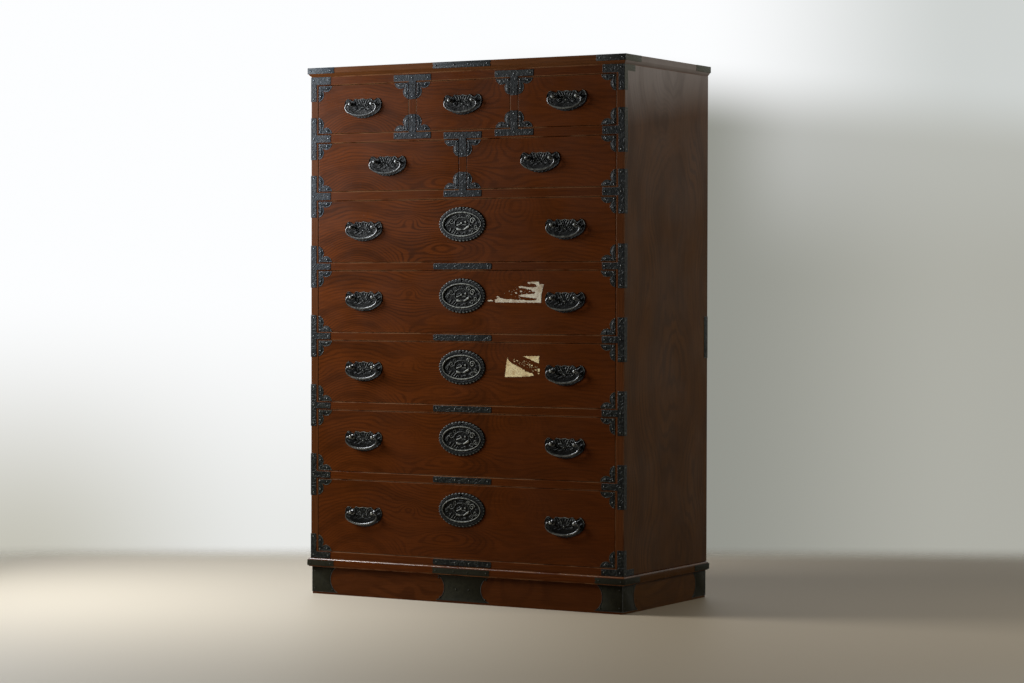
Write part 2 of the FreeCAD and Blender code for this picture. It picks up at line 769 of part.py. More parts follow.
rows = stacked_rows()
build_case(rows)
build_cap()
build_plinth()
build_frame_irons(rows)
build_divider_irons(rows)
build_rail_irons(rows)
build_cap_irons()
build_plinth_irons()
build_drawers(rows)
doc.recompute()

for item in doc.Objects:
    if "Invalid" in item.State or "Error" in item.State:
        raise RuntimeError(f"{item.Label} failed: {item.State}")
for item in nodes:
    if item.Shape.isNull() or not item.Shape.isValid() or not item.Shape.Solids:
        raise RuntimeError(f"{item.Label} has no valid shape")

os.makedirs("parts", exist_ok=True)
for item in nodes:
    item.Shape.exportStep(f"parts/{item.Label}.step")
print(len(nodes), "sub-parts")
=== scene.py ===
"""Looks of a clothing chest: seven rows of drawers in lacquered wood with chased iron fittings.

Metres, in the frame's own axes: X to the right, -Y out of the drawer fronts, Z up.
"""

import json
import math

import bmesh
import bpy
import numpy as np
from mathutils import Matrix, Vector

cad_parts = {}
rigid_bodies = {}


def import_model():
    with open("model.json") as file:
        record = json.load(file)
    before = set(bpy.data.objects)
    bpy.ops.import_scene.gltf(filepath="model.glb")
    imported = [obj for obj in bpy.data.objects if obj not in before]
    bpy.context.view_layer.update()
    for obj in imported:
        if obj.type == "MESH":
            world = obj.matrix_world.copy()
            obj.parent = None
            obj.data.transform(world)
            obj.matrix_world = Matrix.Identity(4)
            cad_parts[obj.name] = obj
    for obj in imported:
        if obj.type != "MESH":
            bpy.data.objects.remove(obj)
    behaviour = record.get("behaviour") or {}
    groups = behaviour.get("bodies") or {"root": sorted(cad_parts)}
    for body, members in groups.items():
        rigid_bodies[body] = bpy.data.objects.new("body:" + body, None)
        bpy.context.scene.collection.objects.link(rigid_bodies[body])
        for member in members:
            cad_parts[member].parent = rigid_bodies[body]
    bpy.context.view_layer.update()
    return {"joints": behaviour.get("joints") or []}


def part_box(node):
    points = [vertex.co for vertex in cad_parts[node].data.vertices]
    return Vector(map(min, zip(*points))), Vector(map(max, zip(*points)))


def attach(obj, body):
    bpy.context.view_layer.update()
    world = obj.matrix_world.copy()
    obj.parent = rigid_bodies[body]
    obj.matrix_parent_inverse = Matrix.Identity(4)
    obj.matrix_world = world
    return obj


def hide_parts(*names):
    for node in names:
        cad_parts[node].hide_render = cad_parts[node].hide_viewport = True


bl_info = {
    "name": "Clothing chest",
    "version": (1, 0, 0),
    "blender": (4, 5, 0),
    "location": "View3D > Sidebar > Chest",
    "description": "Dresses the packed clothing chest with wood, iron fittings and a studio",
    "category": "Add Mesh",
}

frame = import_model()

MM = 0.001

# Planes and levels, read from the frame
CASE_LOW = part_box("side_panel_left")[0]
CASE_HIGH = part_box("side_panel_right")[1]
FRONT = CASE_LOW.y
REAR = CASE_HIGH.y
HALF_WIDTH = CASE_HIGH.x
SIDE_WALL = 24 * MM
INNER_HALF = HALF_WIDTH - SIDE_WALL
CAP_LOW, CAP_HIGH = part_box("top_board")
LEDGE_LOW, LEDGE_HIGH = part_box("plinth_ledge")
SKIRT_LOW, SKIRT_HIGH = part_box("plinth_skirt")
PIVOTS = {joint["child"]: np.array(joint["pos_m"]) for joint in frame["joints"] if joint["type"] == "hinge"}
DRAWERS = [joint["child"] for joint in frame["joints"] if joint["type"] == "slide"]

# Ways on the front, on the sides and out of the front
ACROSS = (1, 0, 0)
SIDEWAYS = (0, 1, 0)
OUTWARD = (0, -1, 0)

# Boards: thicknesses, gaps and rounds
FRONT_GAP = 1.2 * MM
FRONT_BEVEL = 1 * MM
STILE_FACING = 4 * MM
BACK_REBATE = 12 * MM
DIVIDER_WALL = 24 * MM
SHELF_WALL = 10 * MM
SKIRT_WALL = 20 * MM
BOX_WALL = 9 * MM
BOX_FLOOR = 6 * MM
BOX_ROUND = 0.7 * MM
THIN_ROUND = 0.6 * MM
CAP_BEVEL = 7 * MM
CAP_ROUND = 1.3 * MM

# One drawer of each row, from the bottom up
ROWS = ("drawer_bottom", "drawer_sixth", "drawer_fifth", "drawer_fourth", "drawer_third",
        "drawer_second_left", "drawer_top_left")
WIDE_ROWS = ROWS[:5]

# How dark the figure's lines are in each row, and a share of each row's light wood; the share's drop in the
# two bottom rows is painted shade, where the light falls off downwards
LEAF_DEPTHS = (0.5, 0.54, 0.64, 0.64, 0.75, 0.66, 0.62)
LEAF_TONES = (0.89, 0.92, 0.98, 1.0, 1.02, 1.0, 0.98)


def row_span(drawer):
    """Floor and ceiling of the opening that holds a drawer."""
    low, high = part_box(f"{drawer}_front")
    return low.z - FRONT_GAP, high.z + FRONT_GAP


ROW_SPANS = [row_span(row) for row in ROWS]
RAILS = [(here[1], there[0]) for here, there in zip(ROW_SPANS, ROW_SPANS[1:])]


def divider_posts():
    """Left face, floor and ceiling of each divider post in the two upper rows."""
    posts = []
    for row, count in ((5, 1), (6, 2)):
        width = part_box(f"{ROWS[row]}_front")[1].x + FRONT_GAP + INNER_HALF
        posts += [(-INNER_HALF + width + number * (width + DIVIDER_WALL), *ROW_SPANS[row])
                  for number in range(count)]
    return posts


# Iron outlines, in millimetres
SHEET = 0.9
STILE_IRON = 18.0
TEE_HALF = 59.0
TEE_ARM = 66.0
ELBOW_HEIGHT = 69.0
IRON_MARGIN = 2.0
SIDE_WRAP = 18.0
LEAF = (60.0, 17.0)
DIVIDER_ARM = 60.5
DIVIDER_STEM = 48.0
STEM_HALF = 11.5
DIVIDER_BAR = 20.0
RAIL_STRAP = (187.0, 17.0)
CLIP = 3.0
REAR_STRAP = (22.0, 116.0)
FORK = 5.0
CAP_STRAP = (186.0, 17.0)
CAP_LEG = 90.0
LEDGE_STRAP = (184.0, 16.0)
LEDGE_LEG = 90.0
SKIRT_LIFT = 6.0
SKIRT_LEG = (80.0, 62.0, 86.0)
SKIRT_PLATE = (88.0, 59.0, 86.0)
NAIL_ROW = -9.0
FLAT_NAIL_RISE = 0.1

# Rim of a sheet iron plate: how far in, how high, how worn; the first has a chased line inside its rim
PLATE_RIM = ((0, 0, 0), (0, 0.5, 0.3), (0.25, SHEET - 0.1, 1), (0.9, SHEET, 0.9), (1.5, SHEET - 0.1, 0.3),
             (1.9, SHEET - 0.5, 0), (3.0, SHEET - 0.5, 0), (3.6, SHEET - 0.2, 0.25))
PLAIN_RIM = ((0, 0, 0), (0, 0.5, 0), (0.3, SHEET - 0.1, 0.4), (0.8, SHEET, 0.3), (2.0, SHEET, 0.2))
SLIM_RIM = ((0, 0, 0), (0, 0.5, 0), (0.15, SHEET - 0.1, 0.4), (0.5, SHEET, 0.25))

# Two-lobed corner of a drawer, from the corner inwards
LOBE_ARM = 44.0
LOBE_PEAK = (27.0, 15.8)
LOBE_CUSP = 11.0
CORNER_NAILS = ((4.6, 4.4), (28.0, 6.2), (5.6, 28.4))

# Backplate of a bail, about the pivot line
GRIP_HALF = 62.0
GRIP_ABOVE = 16.0
GRIP_BELOW = 40.0
GRIP_TOP_SHARES = ((0, 1), (0.09, 0.93), (0.18, 0.86), (0.27, 0.9), (0.38, 1), (0.46, 0.9), (0.54, 0.6),
                   (0.63, 0.72), (0.73, 0.94), (0.81, 1), (0.9, 0.84), (0.97, 0.45))
GRIP_END_SHARES = ((1, 0), (0.98, -0.24), (0.93, -0.4), (0.86, -0.52), (0.78, -0.6), (0.74, -0.64))
GRIP_TEETH = 8
GRIP_TOOTH = 1.8
PLATE_BASE = 0.25
GRIP_EYE = (0.0, -20.0)
POST_OFFSET = 36.0
ROSETTE = (-1.0, -9.5)
ROSETTE_RING = 4.8

# How broad a stroke is at its start and end, the turns of a curl, and the share of its radius where it stops
STROKE_START = 1.15
STROKE_END = 0.6
CURL_TURNS = 1.6
CURL_HEART = 0.12

# Relief of the backplate: strokes are x, z from and to, width and rise; domes are x, z, radius, rise.
GRIP_STROKES = (
    (3, 5, 6, 11, 2.2, 1.5), (10, 4, 14, 11, 2.2, 1.6), (18, 5, 23, 12, 2.2, 1.5),
    (40, 4, 49, 11, 2.4, 1.4), (47, -6, 56, 0, 2.4, 1.2), (7, -16, 17, -19, 2.2, 1.3),
    (20, -14, 30, -17, 2, 1.2), (45, -15, 53, -11, 2.2, 1.1),
)
GRIP_DOMES = ((0, 12, 2.6, 1.3), (16.5, -0.5, 2.4, 1.5), (27, 2, 2.6, 1.3), (52, 10, 2.6, 1.3),
              (24, 14, 2.2, 1.1))
GRIP_CURLS = ((11, -3, 6.2, 1, 1.2, 1.8), (21, -8, 5.6, -1, 1.2, 1.7), (28, 6, 4.4, 1, 1.1, 1.5))

# Oval lock plate
LOCK_HALF = (74.5, 48.25)
LOCK_TEETH = 38
LOCK_TOOTH = 1.5
RING_HALF = (60.2, 32.4)
BOSS_HALF = (24.5, 16.4)
BOSS_LIFT = 2.4
KEYHOLE_LIFT = 40.5
KEYHOLE_RADIUS = 3.2
LOCK_BELOW_RAIL = 69.6
LOCK_STROKES = (
    (-40, -19, -33, -10, 1.5, 1.9), (-34, -25, -23, -13, 1.6, 2.1), (-27, -27.5, -18, -17, 1.6, 2.1),
    (-17, -27, -12, -21, 1.5, 1.9), (8, -23, 15, -21, 2, 1.9), (-44, 4, -36, 10, 2.6, 1.9),
    (-52, -3, -46, 2, 2.4, 1.4), (29, -3, 34, -9, 2.6, 1.7), (46, 2, 53, -3, 2.4, 1.4),
    (-6, 24, 6, 25.5, 2.2, 1.3),
)
LOCK_DOMES = ((-36.4, -11.5, 2.2, 2.2), (-53, 6, 2.4, 1.3), (26, -19, 3, 1.6), (54, 4, 2.2, 1.2),
              (0, 20, 2.8, 1.5), (-10, -25.5, 2.4, 1.3), (2, -26, 2.6, 1.4), (13, -24, 2.6, 1.3),
              (44, -11, 2, 1.5))
# Curls: centre x and z, radius, sense, width, rise
LOCK_CURLS = ((34, 9, 9, 1, 1.9, 2.6), (45, -8, 7.4, -1, 1.7, 2.4), (21, 19, 7.2, 1, 1.7, 2.4),
              (33, -18, 6.8, 1, 1.6, 2.1), (-33, 9, 8.4, -1, 1.7, 2.1), (-47, -3, 6.4, 1, 1.5, 1.9),
              (-20, 19.5, 7, -1, 1.6, 2.1))
# A winged body in the boss, and two petals as its lower lip
BOSS_STROKES = ((-14, -13, -4, -15, 3.4, 3.4), (21, -6.5, 8, -14, 3.6, 3.6), (-15, -3, 0, 2.5, 2.6, 2.4),
                (-14, 3, -4, 8.5, 1.6, 1.7), (13, -2, 1, -1, 2.4, 2.1), (-10, -6.5, 8, -6.5, 1.2, 1.3))
BOSS_DOMES = ((12, 5.6, 3.4, 3.2), (-1.2, 3.4, 3.6, 3), (4, 12, 1.8, 1.3), (-8, 12, 1.6, 1.2))

# Turned pieces: radius, height and wear along their profiles
POST_PROFILE = ((7.2, 0.6, 0), (7.2, 1.9, 0.5), (6.6, 2.5, 0.8), (5.0, 2.9, 0.2), (4.1, 3.8, 0.1),
                (3.8, 6.4, 0.2), (4.4, 8.2, 0.3), (5.2, 10.2, 0.4), (5.5, 12.4, 0.5), (5.1, 14.4, 0.6),
                (4.0, 16.0, 0.8), (2.1, 16.9, 1), (0.5, 17.1, 1))
COLLAR_PROFILE = ((4.7, 0.7, 0.2), (4.4, 3.2, 0.3), (3.6, 3.6, 0.5), (2.8, 3.2, 0.3), (2.8, 0.3, 0))
# A near-black disc that sits in the keyhole: painted shade of the hole.
KEYHOLE_SHADE_DISC = ((3.0, 0.05, 0), (3.0, 0.45, 0), (0.4, 0.5, 0))

# Bails
BAIL_HALF = 51.0
BAIL_DROP = 31.5
BAIL_SHOULDER = 9.0
PIN_END = 30.4
PIN_RADIUS = 1.95
BAIL_SQUARE = 0.86

# Scraps of old paper on two drawer fronts: corners in x and z
PAPER_FOURTH = (
    ((104, 826), (248, 826), (248.5, 838), (249.5, 849), (252.5, 862), (256, 875.5), (247, 876), (243, 874),
     (241, 882), (225, 882.5), (207, 881.5), (206, 877.5), (222, 877), (232, 875), (234, 868.5), (222, 867),
     (208, 868), (196, 869), (186, 871), (179, 869.5), (181, 866), (192, 865.5), (205, 863), (216, 860.5),
     (223, 857), (231, 854), (226, 850), (212, 849), (200, 848.5), (188, 847.5), (177, 844), (186, 842),
     (200, 840.5), (214, 839.5), (226, 838.5), (236, 836.5), (232, 832.5), (215, 831.5), (200, 832),
     (180, 833), (165, 833.5), (152, 835.5), (140, 834.5), (130, 836.5), (122, 838), (116, 841),
     (110, 836), (104, 834)),
    ((166, 853.5), (173, 854), (173.5, 850.5), (167, 850)),
    ((182.5, 858), (189.5, 857.5), (188.5, 854.5), (183, 854.5)),
    ((82, 832), (90, 833), (97, 832), (97, 829.5), (88, 829), (82, 830)),
    ((107, 841), (113, 839.5), (118, 843.5), (112, 843)),
)
PAPER_FIFTH = (
    ((142.9, 676), (148, 668.5), (159, 660.5), (172, 656), (178, 652.5), (185.4, 650), (190, 646.5),
     (196.6, 644.5), (199, 640), (208.7, 639), (214, 635.5), (221, 636), (223, 633), (226.4, 630),
     (213, 627.2), (190, 626),
     (165, 624.8), (135.4, 624.2), (138.5, 645)),
    ((193.8, 681), (243.2, 682.5), (242.2, 671), (241.4, 663), (232, 666), (219, 671.3), (204, 676.8)),
    ((238.6, 648), (244.2, 648), (244.2, 640.5), (238.6, 640.5)),
    ((238.8, 637), (244, 637), (243.6, 633.5), (239, 633.5)),
    ((217, 658.5), (223, 658), (222.5, 655), (217.5, 655)),
    ((211, 661), (213.5, 660), (213, 656.5), (210.5, 657)),
    ((173.5, 671), (176, 670), (175.5, 667.5), (173, 668)),
    ((222, 643.5), (225.5, 643), (225, 641), (222, 641.5)),
    ((229, 646), (236, 645.5), (235, 643.5), (230, 643.8)),
)
# Flecks left between the torn parts: a line from x, z to x, z, how far they stray from it, and how many
FLECKS_FOURTH = (158, 852, 232, 860, 22, 80)
FLECKS_FIFTH = (156, 671, 238, 650, 8, 60)
# Drawer, scraps, flecks, finish, and the paper's colours where it is clean and where it is foxed
PAPERS = (
    ("drawer_fourth", PAPER_FOURTH, FLECKS_FOURTH, "Old paper", (0.62, 0.56, 0.42), (0.36, 0.26, 0.15)),
    ("drawer_fifth", PAPER_FIFTH, FLECKS_FIFTH, "Yellowed paper", (0.8, 0.66, 0.35), (0.55, 0.37, 0.15)),
)
PAPER_STAIN = (0.16, 0.06, 0.03)

# Tints of the iron by place, a painted light: at the chest's foot, at its top right and at its top left; the
# sheet's bluer top left is a painted reflection of the window
SHEET_PAINTED_LIGHT = ((0.86, 0.86, 0.62), (0.82, 0.8, 0.64), (0.8, 1.04, 1.3))
RELIEF_PAINTED_LIGHT = ((1.05, 1.02, 0.86), (1.14, 1.12, 0.94), (0.88, 0.9, 0.88))
FOOT_PATINA = ((1.15, 1.15, 1.1),) * 3

# Distances from the chest's middle between which the rub of an edge changes near a stile; by the right stile
# the pale edge is a painted highlight where its edges catch the light
BY_THE_STILE = (HALF_WIDTH - 0.08, HALF_WIDTH - 0.065)

# The way to the window
TO_WINDOW = (-0.87, -0.5, 0)

# Where the photograph was taken from, solved from its edges
CAMERA_YAW = 30.33
CAMERA_PITCH = 1.10
CAMERA_ROLL = 0.12
CAMERA_DISTANCE = 7.642
CAMERA_FOCUS_PX = 2716
CAMERA_OFFSET = (0.010, -0.035)
CAMERA_TARGET = (0.0, 0.008, 0.75)
PHOTO_WIDTH_PX = 1024


def colour(name, description, default):
    """A setting that holds a colour."""
    return bpy.props.FloatVectorProperty(name=name, description=description, subtype="COLOR", size=3,
                                         min=0, max=1, default=default)


def length(name, description, default):
    """A setting in metres."""
    return bpy.props.FloatProperty(name=name, description=description, unit="LENGTH", min=0, default=default)


def strength(name, description, default, unit="NONE"):
    """A setting that counts up from nought, such as a lamp's power."""
    return bpy.props.FloatProperty(name=name, description=description, unit=unit, min=0, default=default)


class ChestWood(bpy.types.PropertyGroup):
    """Colours and finish of the boards."""

    front_light: colour("Front, light", "Early wood of the drawer fronts", (0.09, 0.0215, 0.0036))
    front_dark: colour("Front, dark", "Late wood of the drawer fronts", (0.032, 0.0085, 0.0018))
    side_light: colour("Side, light", "Early wood of the sides", (0.08, 0.0315, 0.0074))
    side_dark: colour("Side, dark", "Late wood of the sides", (0.046, 0.0185, 0.005))
    stile_light: colour("Stiles, light", "Early wood of the stiles", (0.09, 0.0265, 0.0066))
    stile_dark: colour("Stiles, dark", "Late wood of the stiles", (0.034, 0.011, 0.0032))
    cap_light: colour("Cap, light", "Early wood of the cap board", (0.118, 0.039, 0.0105))
    cap_dark: colour("Cap, dark", "Late wood of the cap board", (0.042, 0.015, 0.005))
    plinth_light: colour("Plinth, light", "Early wood of the skirt", (0.077, 0.021, 0.0046))
    inner_light: colour("Inside, light", "Bare wood of the drawer boxes", (0.42, 0.27, 0.14))
    inner_dark: colour("Inside, dark", "Grain of the drawer boxes", (0.3, 0.175, 0.085))
    # This colour is a painted sheen: a pale reflection high on the right side and on the cap's right end.
    painted_sheen: colour("Painted sheen", "Pale bloom of the lacquer high on the sides", (0.346, 0.307, 0.29))
    # The worn colour is also a painted highlight along the edges of the rails, the stiles and the ledge.
    worn: colour("Worn edge", "Wood that shows where the lacquer is rubbed off", (0.19, 0.085, 0.036))
    edge_round: length("Edge round", "Radius of a board's eased edge", 1.2 * MM)
    ledge_round: length("Ledge round", "Radius of the ledge's moulded edge", 4.6 * MM)


class ChestIron(bpy.types.PropertyGroup):
    """Colours and sizes of the iron fittings."""

    plate: colour("Plates", "Scorched sheet iron", (0.009, 0.0108, 0.0128))
    foot: colour("Foot irons", "Smooth, smoky iron of the plinth", (0.0165, 0.0155, 0.0095))
    hollow: colour("Hollows", "Soot in the hollows of the relief", (0.0022, 0.0022, 0.002))
    rubbed: colour("Rubbed", "Ridges and rims rubbed bright", (0.34, 0.355, 0.37))
    bail: colour("Bails", "Smooth iron of the bails", (0.02, 0.021, 0.022))
    # This colour is a painted sheen on the sheet irons' right faces and along their top, high up.
    painted_sheen: colour("Painted sheen", "Pale bloom on the right faces high up", (0.12, 0.122, 0.118))
    nail_radius: length("Nail radius", "Radius of a nail's domed head", 2.7 * MM)
    nail_rise: length("Nail rise", "Height of a nail's head over its plate", 1.3 * MM)


class ChestStage(bpy.types.PropertyGroup):
    """Floor, light and background."""

    # The floor's two colours are painted shade: darker away from the window.
    floor: colour("Floor", "Plain pale floor, on the window's side", (0.6, 0.53, 0.42))
    painted_shade_floor: colour("Floor, right", "Plain pale floor, away from the window", (0.35, 0.28, 0.19))
    # The background's colours paint light and shade on the wall: bright by the window, greyer away from it,
    # darker at its foot, and a painted shadow of the chest just to its right.
    bright_side: colour("Background, left", "Background on the window's side", (0.98, 0.99, 1.0))
    painted_wall_shadow: colour("Background, right", "Background just to the right of the chest", (0.285, 0.29, 0.258))
    low_left: colour("Background, low left", "Foot of the wall left of the chest", (0.8, 0.81, 0.79))
    low_far_left: colour("Background, far left", "Foot of the wall at the left", (0.55, 0.54, 0.47))
    far_side: colour("Background, far right", "Background away from the window", (0.42, 0.42, 0.375))
    far_top: colour("Background, top right", "Top of the wall away from the window", (0.62, 0.645, 0.63))
    behind: colour("Behind the camera", "The studio's dim side, which the fronts mirror", (0.03, 0.03, 0.03))
    below: colour("Background, below", "Far floor without a shadow, as a share of the wall", (0.8, 0.76, 0.7))
    key_power: strength("Key", "Power of the window lamp", 75, "POWER")
    fill_power: strength("Fill", "Power of the fill lamp", 20, "POWER")
    ambient: strength("Ambient", "Strength of the light from all round", 0.035)


# Shapes

class Shape:
    """Points in metres, blocks of faces with a row of corners for each face, and marks: values per point."""

    def __init__(self, points, faces, **marks):
        self.points = np.asarray(points, float)
        self.faces = faces
        self.marks = marks

    def mirrored(self):
        """The same shape on the other side of the chest's middle plane."""
        return Shape(self.points * (-1, 1, 1), [block[:, ::-1] for block in self.faces], **self.marks)


def joined(shapes):
    """All points and faces of several shapes as one."""
    starts = np.cumsum([0] + [len(shape.points) for shape in shapes])
    faces = [block + start for shape, start in zip(shapes, starts) for block in shape.faces]
    marks = {name: np.concatenate([shape.marks[name] for shape in shapes]) for name in shapes[0].marks}
    return Shape(np.concatenate([shape.points for shape in shapes]), faces, **marks)


def add_piece(name, shapes, finish, body, node=None, crease=38):
    """Make one object of several closed shapes, let it ride on a body and stand for a CAD node."""
    whole = joined(shapes)
    mesh = bpy.data.meshes.new(name)
    mesh.from_pydata(whole.points.tolist(), [], [face for block in whole.faces for face in block.tolist()])
    for mark, values in whole.marks.items():
        kind, field = ("FLOAT", "value") if values.ndim == 1 else ("FLOAT_VECTOR", "vector")
        attribute = mesh.attributes.new(mark, kind, "POINT")
        attribute.data.foreach_set(field, values.astype(np.float32).ravel())
    solid = bmesh.new()
    solid.from_mesh(mesh)
    bmesh.ops.recalc_face_normals(solid, faces=solid.faces)
    solid.to_mesh(mesh)
    solid.free()
    mesh.shade_smooth()
    mesh.set_sharp_from_angle(angle=math.radians(crease))
    mesh.materials.append(bpy.data.materials[finish])
    item = bpy.data.objects.new(name, mesh)
    bpy.context.scene.collection.objects.link(item)
    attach(item, body)
    if node:
        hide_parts(node)


def grid_faces(rows, columns):
    """Quads of a grid of points, row by row; the last column joins the first."""
    row = np.arange(rows - 1)[:, None] * columns
    here = np.arange(columns)[None, :]
    there = (here + 1) % columns
    quads = np.stack([row + here, row + columns + here, row + columns + there, row + there], axis=-1)
    return quads.reshape(-1, 4)


def closed_rings(rings, count):
    """Faces of a stack of rings of points, closed at both ends."""
    end = np.arange(count)[None]
    return [grid_faces(rings, count), end[:, ::-1], end + (rings - 1) * count]


def board_stops(low, high, radius):
    """Grid lines along one axis: dense near both ends, so that rounds and wear have points to sit on."""
    near = np.array([0, 0.3, 0.65, 1, 2.2, 4.5, 8]) * radius
    near = near[near < (high - low) / 2.4]
    return np.concatenate([low + near, [(low + high) / 2], high - near[::-1]])


def board(low, high, radius, along=0, across=2):
    """A rounded board: a box's grid, where each point keeps one radius from the box drawn in by that radius.

    The edge mark is the distance from the nearest edge. The grain mark runs along one axis and
    across another, and goes on over the board's thickness.
    """
    low = np.asarray(low, float)
    high = np.asarray(high, float)
    stops = [board_stops(low[axis], high[axis], radius) for axis in range(3)]
    corners = []
    for axis in range(3):
        first, second = (axis + 1) % 3, (axis + 2) % 3
        u, v = np.meshgrid(stops[first], stops[second], indexing="ij")
        for value in (low[axis], high[axis]):
            sheet = np.empty(u.shape + (3,))
            sheet[..., first] = u
            sheet[..., second] = v
            sheet[..., axis] = value
            quad = np.stack([sheet[:-1, :-1], sheet[1:, :-1], sheet[1:, 1:], sheet[:-1, 1:]], axis=2)
            quad = quad.reshape(-1, 4, 3)
            corners.append(quad if value == high[axis] else quad[:, ::-1])
    box, index = np.unique(np.round(np.concatenate(corners).reshape(-1, 3), 7), axis=0, return_inverse=True)
    core = np.clip(box, low + radius, high - radius)
    away = box - core
    points = core + radius * away / np.linalg.norm(away, axis=1, keepdims=True)
    edge = np.sort(np.minimum(box - low, high - box), axis=1)[:, 1]
    thickness = 3 - along - across
    depth = box[:, thickness] - low[thickness]
    grain = np.stack([box[:, along], box[:, across] + depth, depth], axis=1)
    return Shape(points, [index.reshape(-1, 4)], edge=edge, grain=grain)


def turned_outline(outline):
    """The outline's points in counterclockwise order."""
    points = np.asarray(outline, float)
    after = np.roll(points, -1, axis=0)
    area = np.sum(points[:, 0] * after[:, 1] - after[:, 0] * points[:, 1])
    return points if area > 0 else points[::-1]


def inset(outline, distance):
    """The outline drawn in: each corner moves along its mitre."""
    ways = np.roll(outline, -1, axis=0) - outline
    ways /= np.linalg.norm(ways, axis=1, keepdims=True)
    inward = np.stack([-ways[:, 1], ways[:, 0]], axis=1)
    before = np.roll(inward, 1, axis=0)
    spread = np.maximum(1 + np.sum(inward * before, axis=1, keepdims=True), 0.25)
    return outline + (inward + before) / spread * distance


def on_plane(flat, lift, origin, right=ACROSS):
    """Points of a plane, in millimetres, set on the face whose right-hand way is given."""
    right = np.asarray(right, float)
    up = np.array([0, 0, 1.0])
    outward = np.cross(right, up)
    flat = np.asarray(flat) * MM
    return np.asarray(origin) + flat[..., :1] * right + flat[..., 1:2] * up + lift[..., None] * MM * outward


def spot_on_plane(spot, origin, right=ACROSS, lift=0.0):
    """One spot in millimetres on a plane, as a point of the chest."""
    return on_plane(np.array([spot]), np.array([lift]), origin, right)[0]


def sheet_plate(outline, origin, right=ACROSS, rim=PLATE_RIM):
    """A plate: the rim's profile is carried along the outline, each ring drawn in by its mitres."""
    edge = turned_outline(outline)
    rings = [np.column_stack([inset(edge, inward), np.full(len(edge), rise), np.full(len(edge), worn)])
             for inward, rise, worn in rim]
    points = np.concatenate(rings)
    return Shape(on_plane(points[:, :2], points[:, 2], origin, right), closed_rings(len(rim), len(edge)),
                 worn=points[:, 3])


def revolved(profile, origin, outward, sides):
    """A profile of radii, heights and wear turned about an axis, closed at both ends."""
    outward = np.asarray(outward, float)
    first = np.cross(outward, (0, 0, 1.0))
    first /= np.linalg.norm(first)
    second = np.cross(outward, first)
    angle = np.arange(sides) * 2 * math.pi / sides
    circle = np.cos(angle)[:, None] * first + np.sin(angle)[:, None] * second
    radii, heights, worn = np.asarray(profile, float).T
    rings = (radii * MM)[:, None, None] * circle + (heights * MM)[:, None, None] * outward
    return Shape((np.asarray(origin) + rings).reshape(-1, 3), closed_rings(len(profile), sides),
                 worn=np.repeat(worn, sides))


def nail(spot, origin, right=ACROSS):
    """A nail's head at a spot of a plate: a dome of sines and cosines, flatter on the chest's sides."""
    iron = bpy.context.scene.chest_iron
    radius = iron.nail_radius / MM
    rise = iron.nail_rise / MM if right[0] > 0 else FLAT_NAIL_RISE
    sunk = 0.3
    place = spot_on_plane(spot, origin, right, SHEET - sunk)
    dome = [(radius * math.cos(angle), sunk + rise * math.sin(angle), 0.9 * math.sin(angle) ** 2)
            for angle in np.radians((0, 30, 58, 82))]
    return revolved([(radius * 1.06, 0, 0)] + dome, place, np.cross(right, (0, 0, 1.0)), 12)


def arc(start, way, end, steps):
    """Points of the circle through three points, from the first to the last.

    A long arc's first and last step are double, so that a rim drawn in by its corners stays whole.
    """
    (ax, ay), (bx, by), (cx, cy) = start, way, end
    d = 2 * (ax * (by - cy) + bx * (cy - ay) + cx * (ay - by))
    squares = ax * ax + ay * ay, bx * bx + by * by, cx * cx + cy * cy
    x = (squares[0] * (by - cy) + squares[1] * (cy - ay) + squares[2] * (ay - by)) / d
    y = (squares[0] * (cx - bx) + squares[1] * (ax - cx) + squares[2] * (bx - ax)) / d
    radius = math.hypot(ax - x, ay - y)
    angles = np.unwrap([math.atan2(py - y, px - x) for px, py in (start, way, end)])
    sweep = np.linspace(angles[0], angles[2], steps + 1)
    if steps > 6:
        sweep = np.delete(sweep, (1, steps - 1))
    return [(x + radius * math.cos(angle), y + radius * math.sin(angle)) for angle in sweep]


# Outlines of the irons, in millimetres

def tee_outline(rail):
    """Stile plate with an arm on the rail; x runs inwards from the case's edge to the left."""
    arm = rail / 2 - IRON_MARGIN
    return [(SHEET, TEE_HALF), (-STILE_IRON, TEE_HALF), (-STILE_IRON, arm), (-TEE_ARM, arm), (-TEE_ARM, -arm),
            (-STILE_IRON, -arm), (-STILE_IRON, -TEE_HALF), (SHEET, -TEE_HALF)]


def elbow_outline(rail):
    """Stile plate with its arm on the base rail."""
    arm = rail - IRON_MARGIN
    return [(SHEET, 0), (-TEE_ARM, 0), (-TEE_ARM, arm), (-STILE_IRON, arm), (-STILE_IRON, ELBOW_HEIGHT),
            (SHEET, ELBOW_HEIGHT)]


def rectangle(x0, z0, x1, z1):
    """Four corners: two at the lower level and two at the upper one."""
    return [(x0, z0), (x1, z0), (x1, z1), (x0, z1)]


def clipped_bar(width, height):
    """A bar about its middle, with each corner cut off straight, one clip along both edges."""
    x, z = width / 2, height / 2
    return [(x - CLIP, z), (-x + CLIP, z), (-x, z - CLIP), (-x, CLIP - z), (-x + CLIP, -z), (x - CLIP, -z),
            (x, CLIP - z), (x, z - CLIP)]


def forked_end(x, height):
    """Two scallops, each a circle through three points, with a notch between them, from the foot up."""
    lower = arc((x - FORK / 2, 0), (x - FORK / 8, 0.9 * height / 4), (x - FORK, height / 2), 5)
    return lower + [(px, height - pz) for px, pz in reversed(lower)][1:]


def with_mirror_image(right):
    """The right half of an outline and its mirror image."""
    return right + [(-x, z) for x, z in reversed(right)]


def waisted_edge(top, waist, foot, high):
    """The circle through three points: the top, the waist halfway down and the foot."""
    return arc((top, high), (waist, (SKIRT_LIFT + high) / 2), (foot, SKIRT_LIFT), 16)


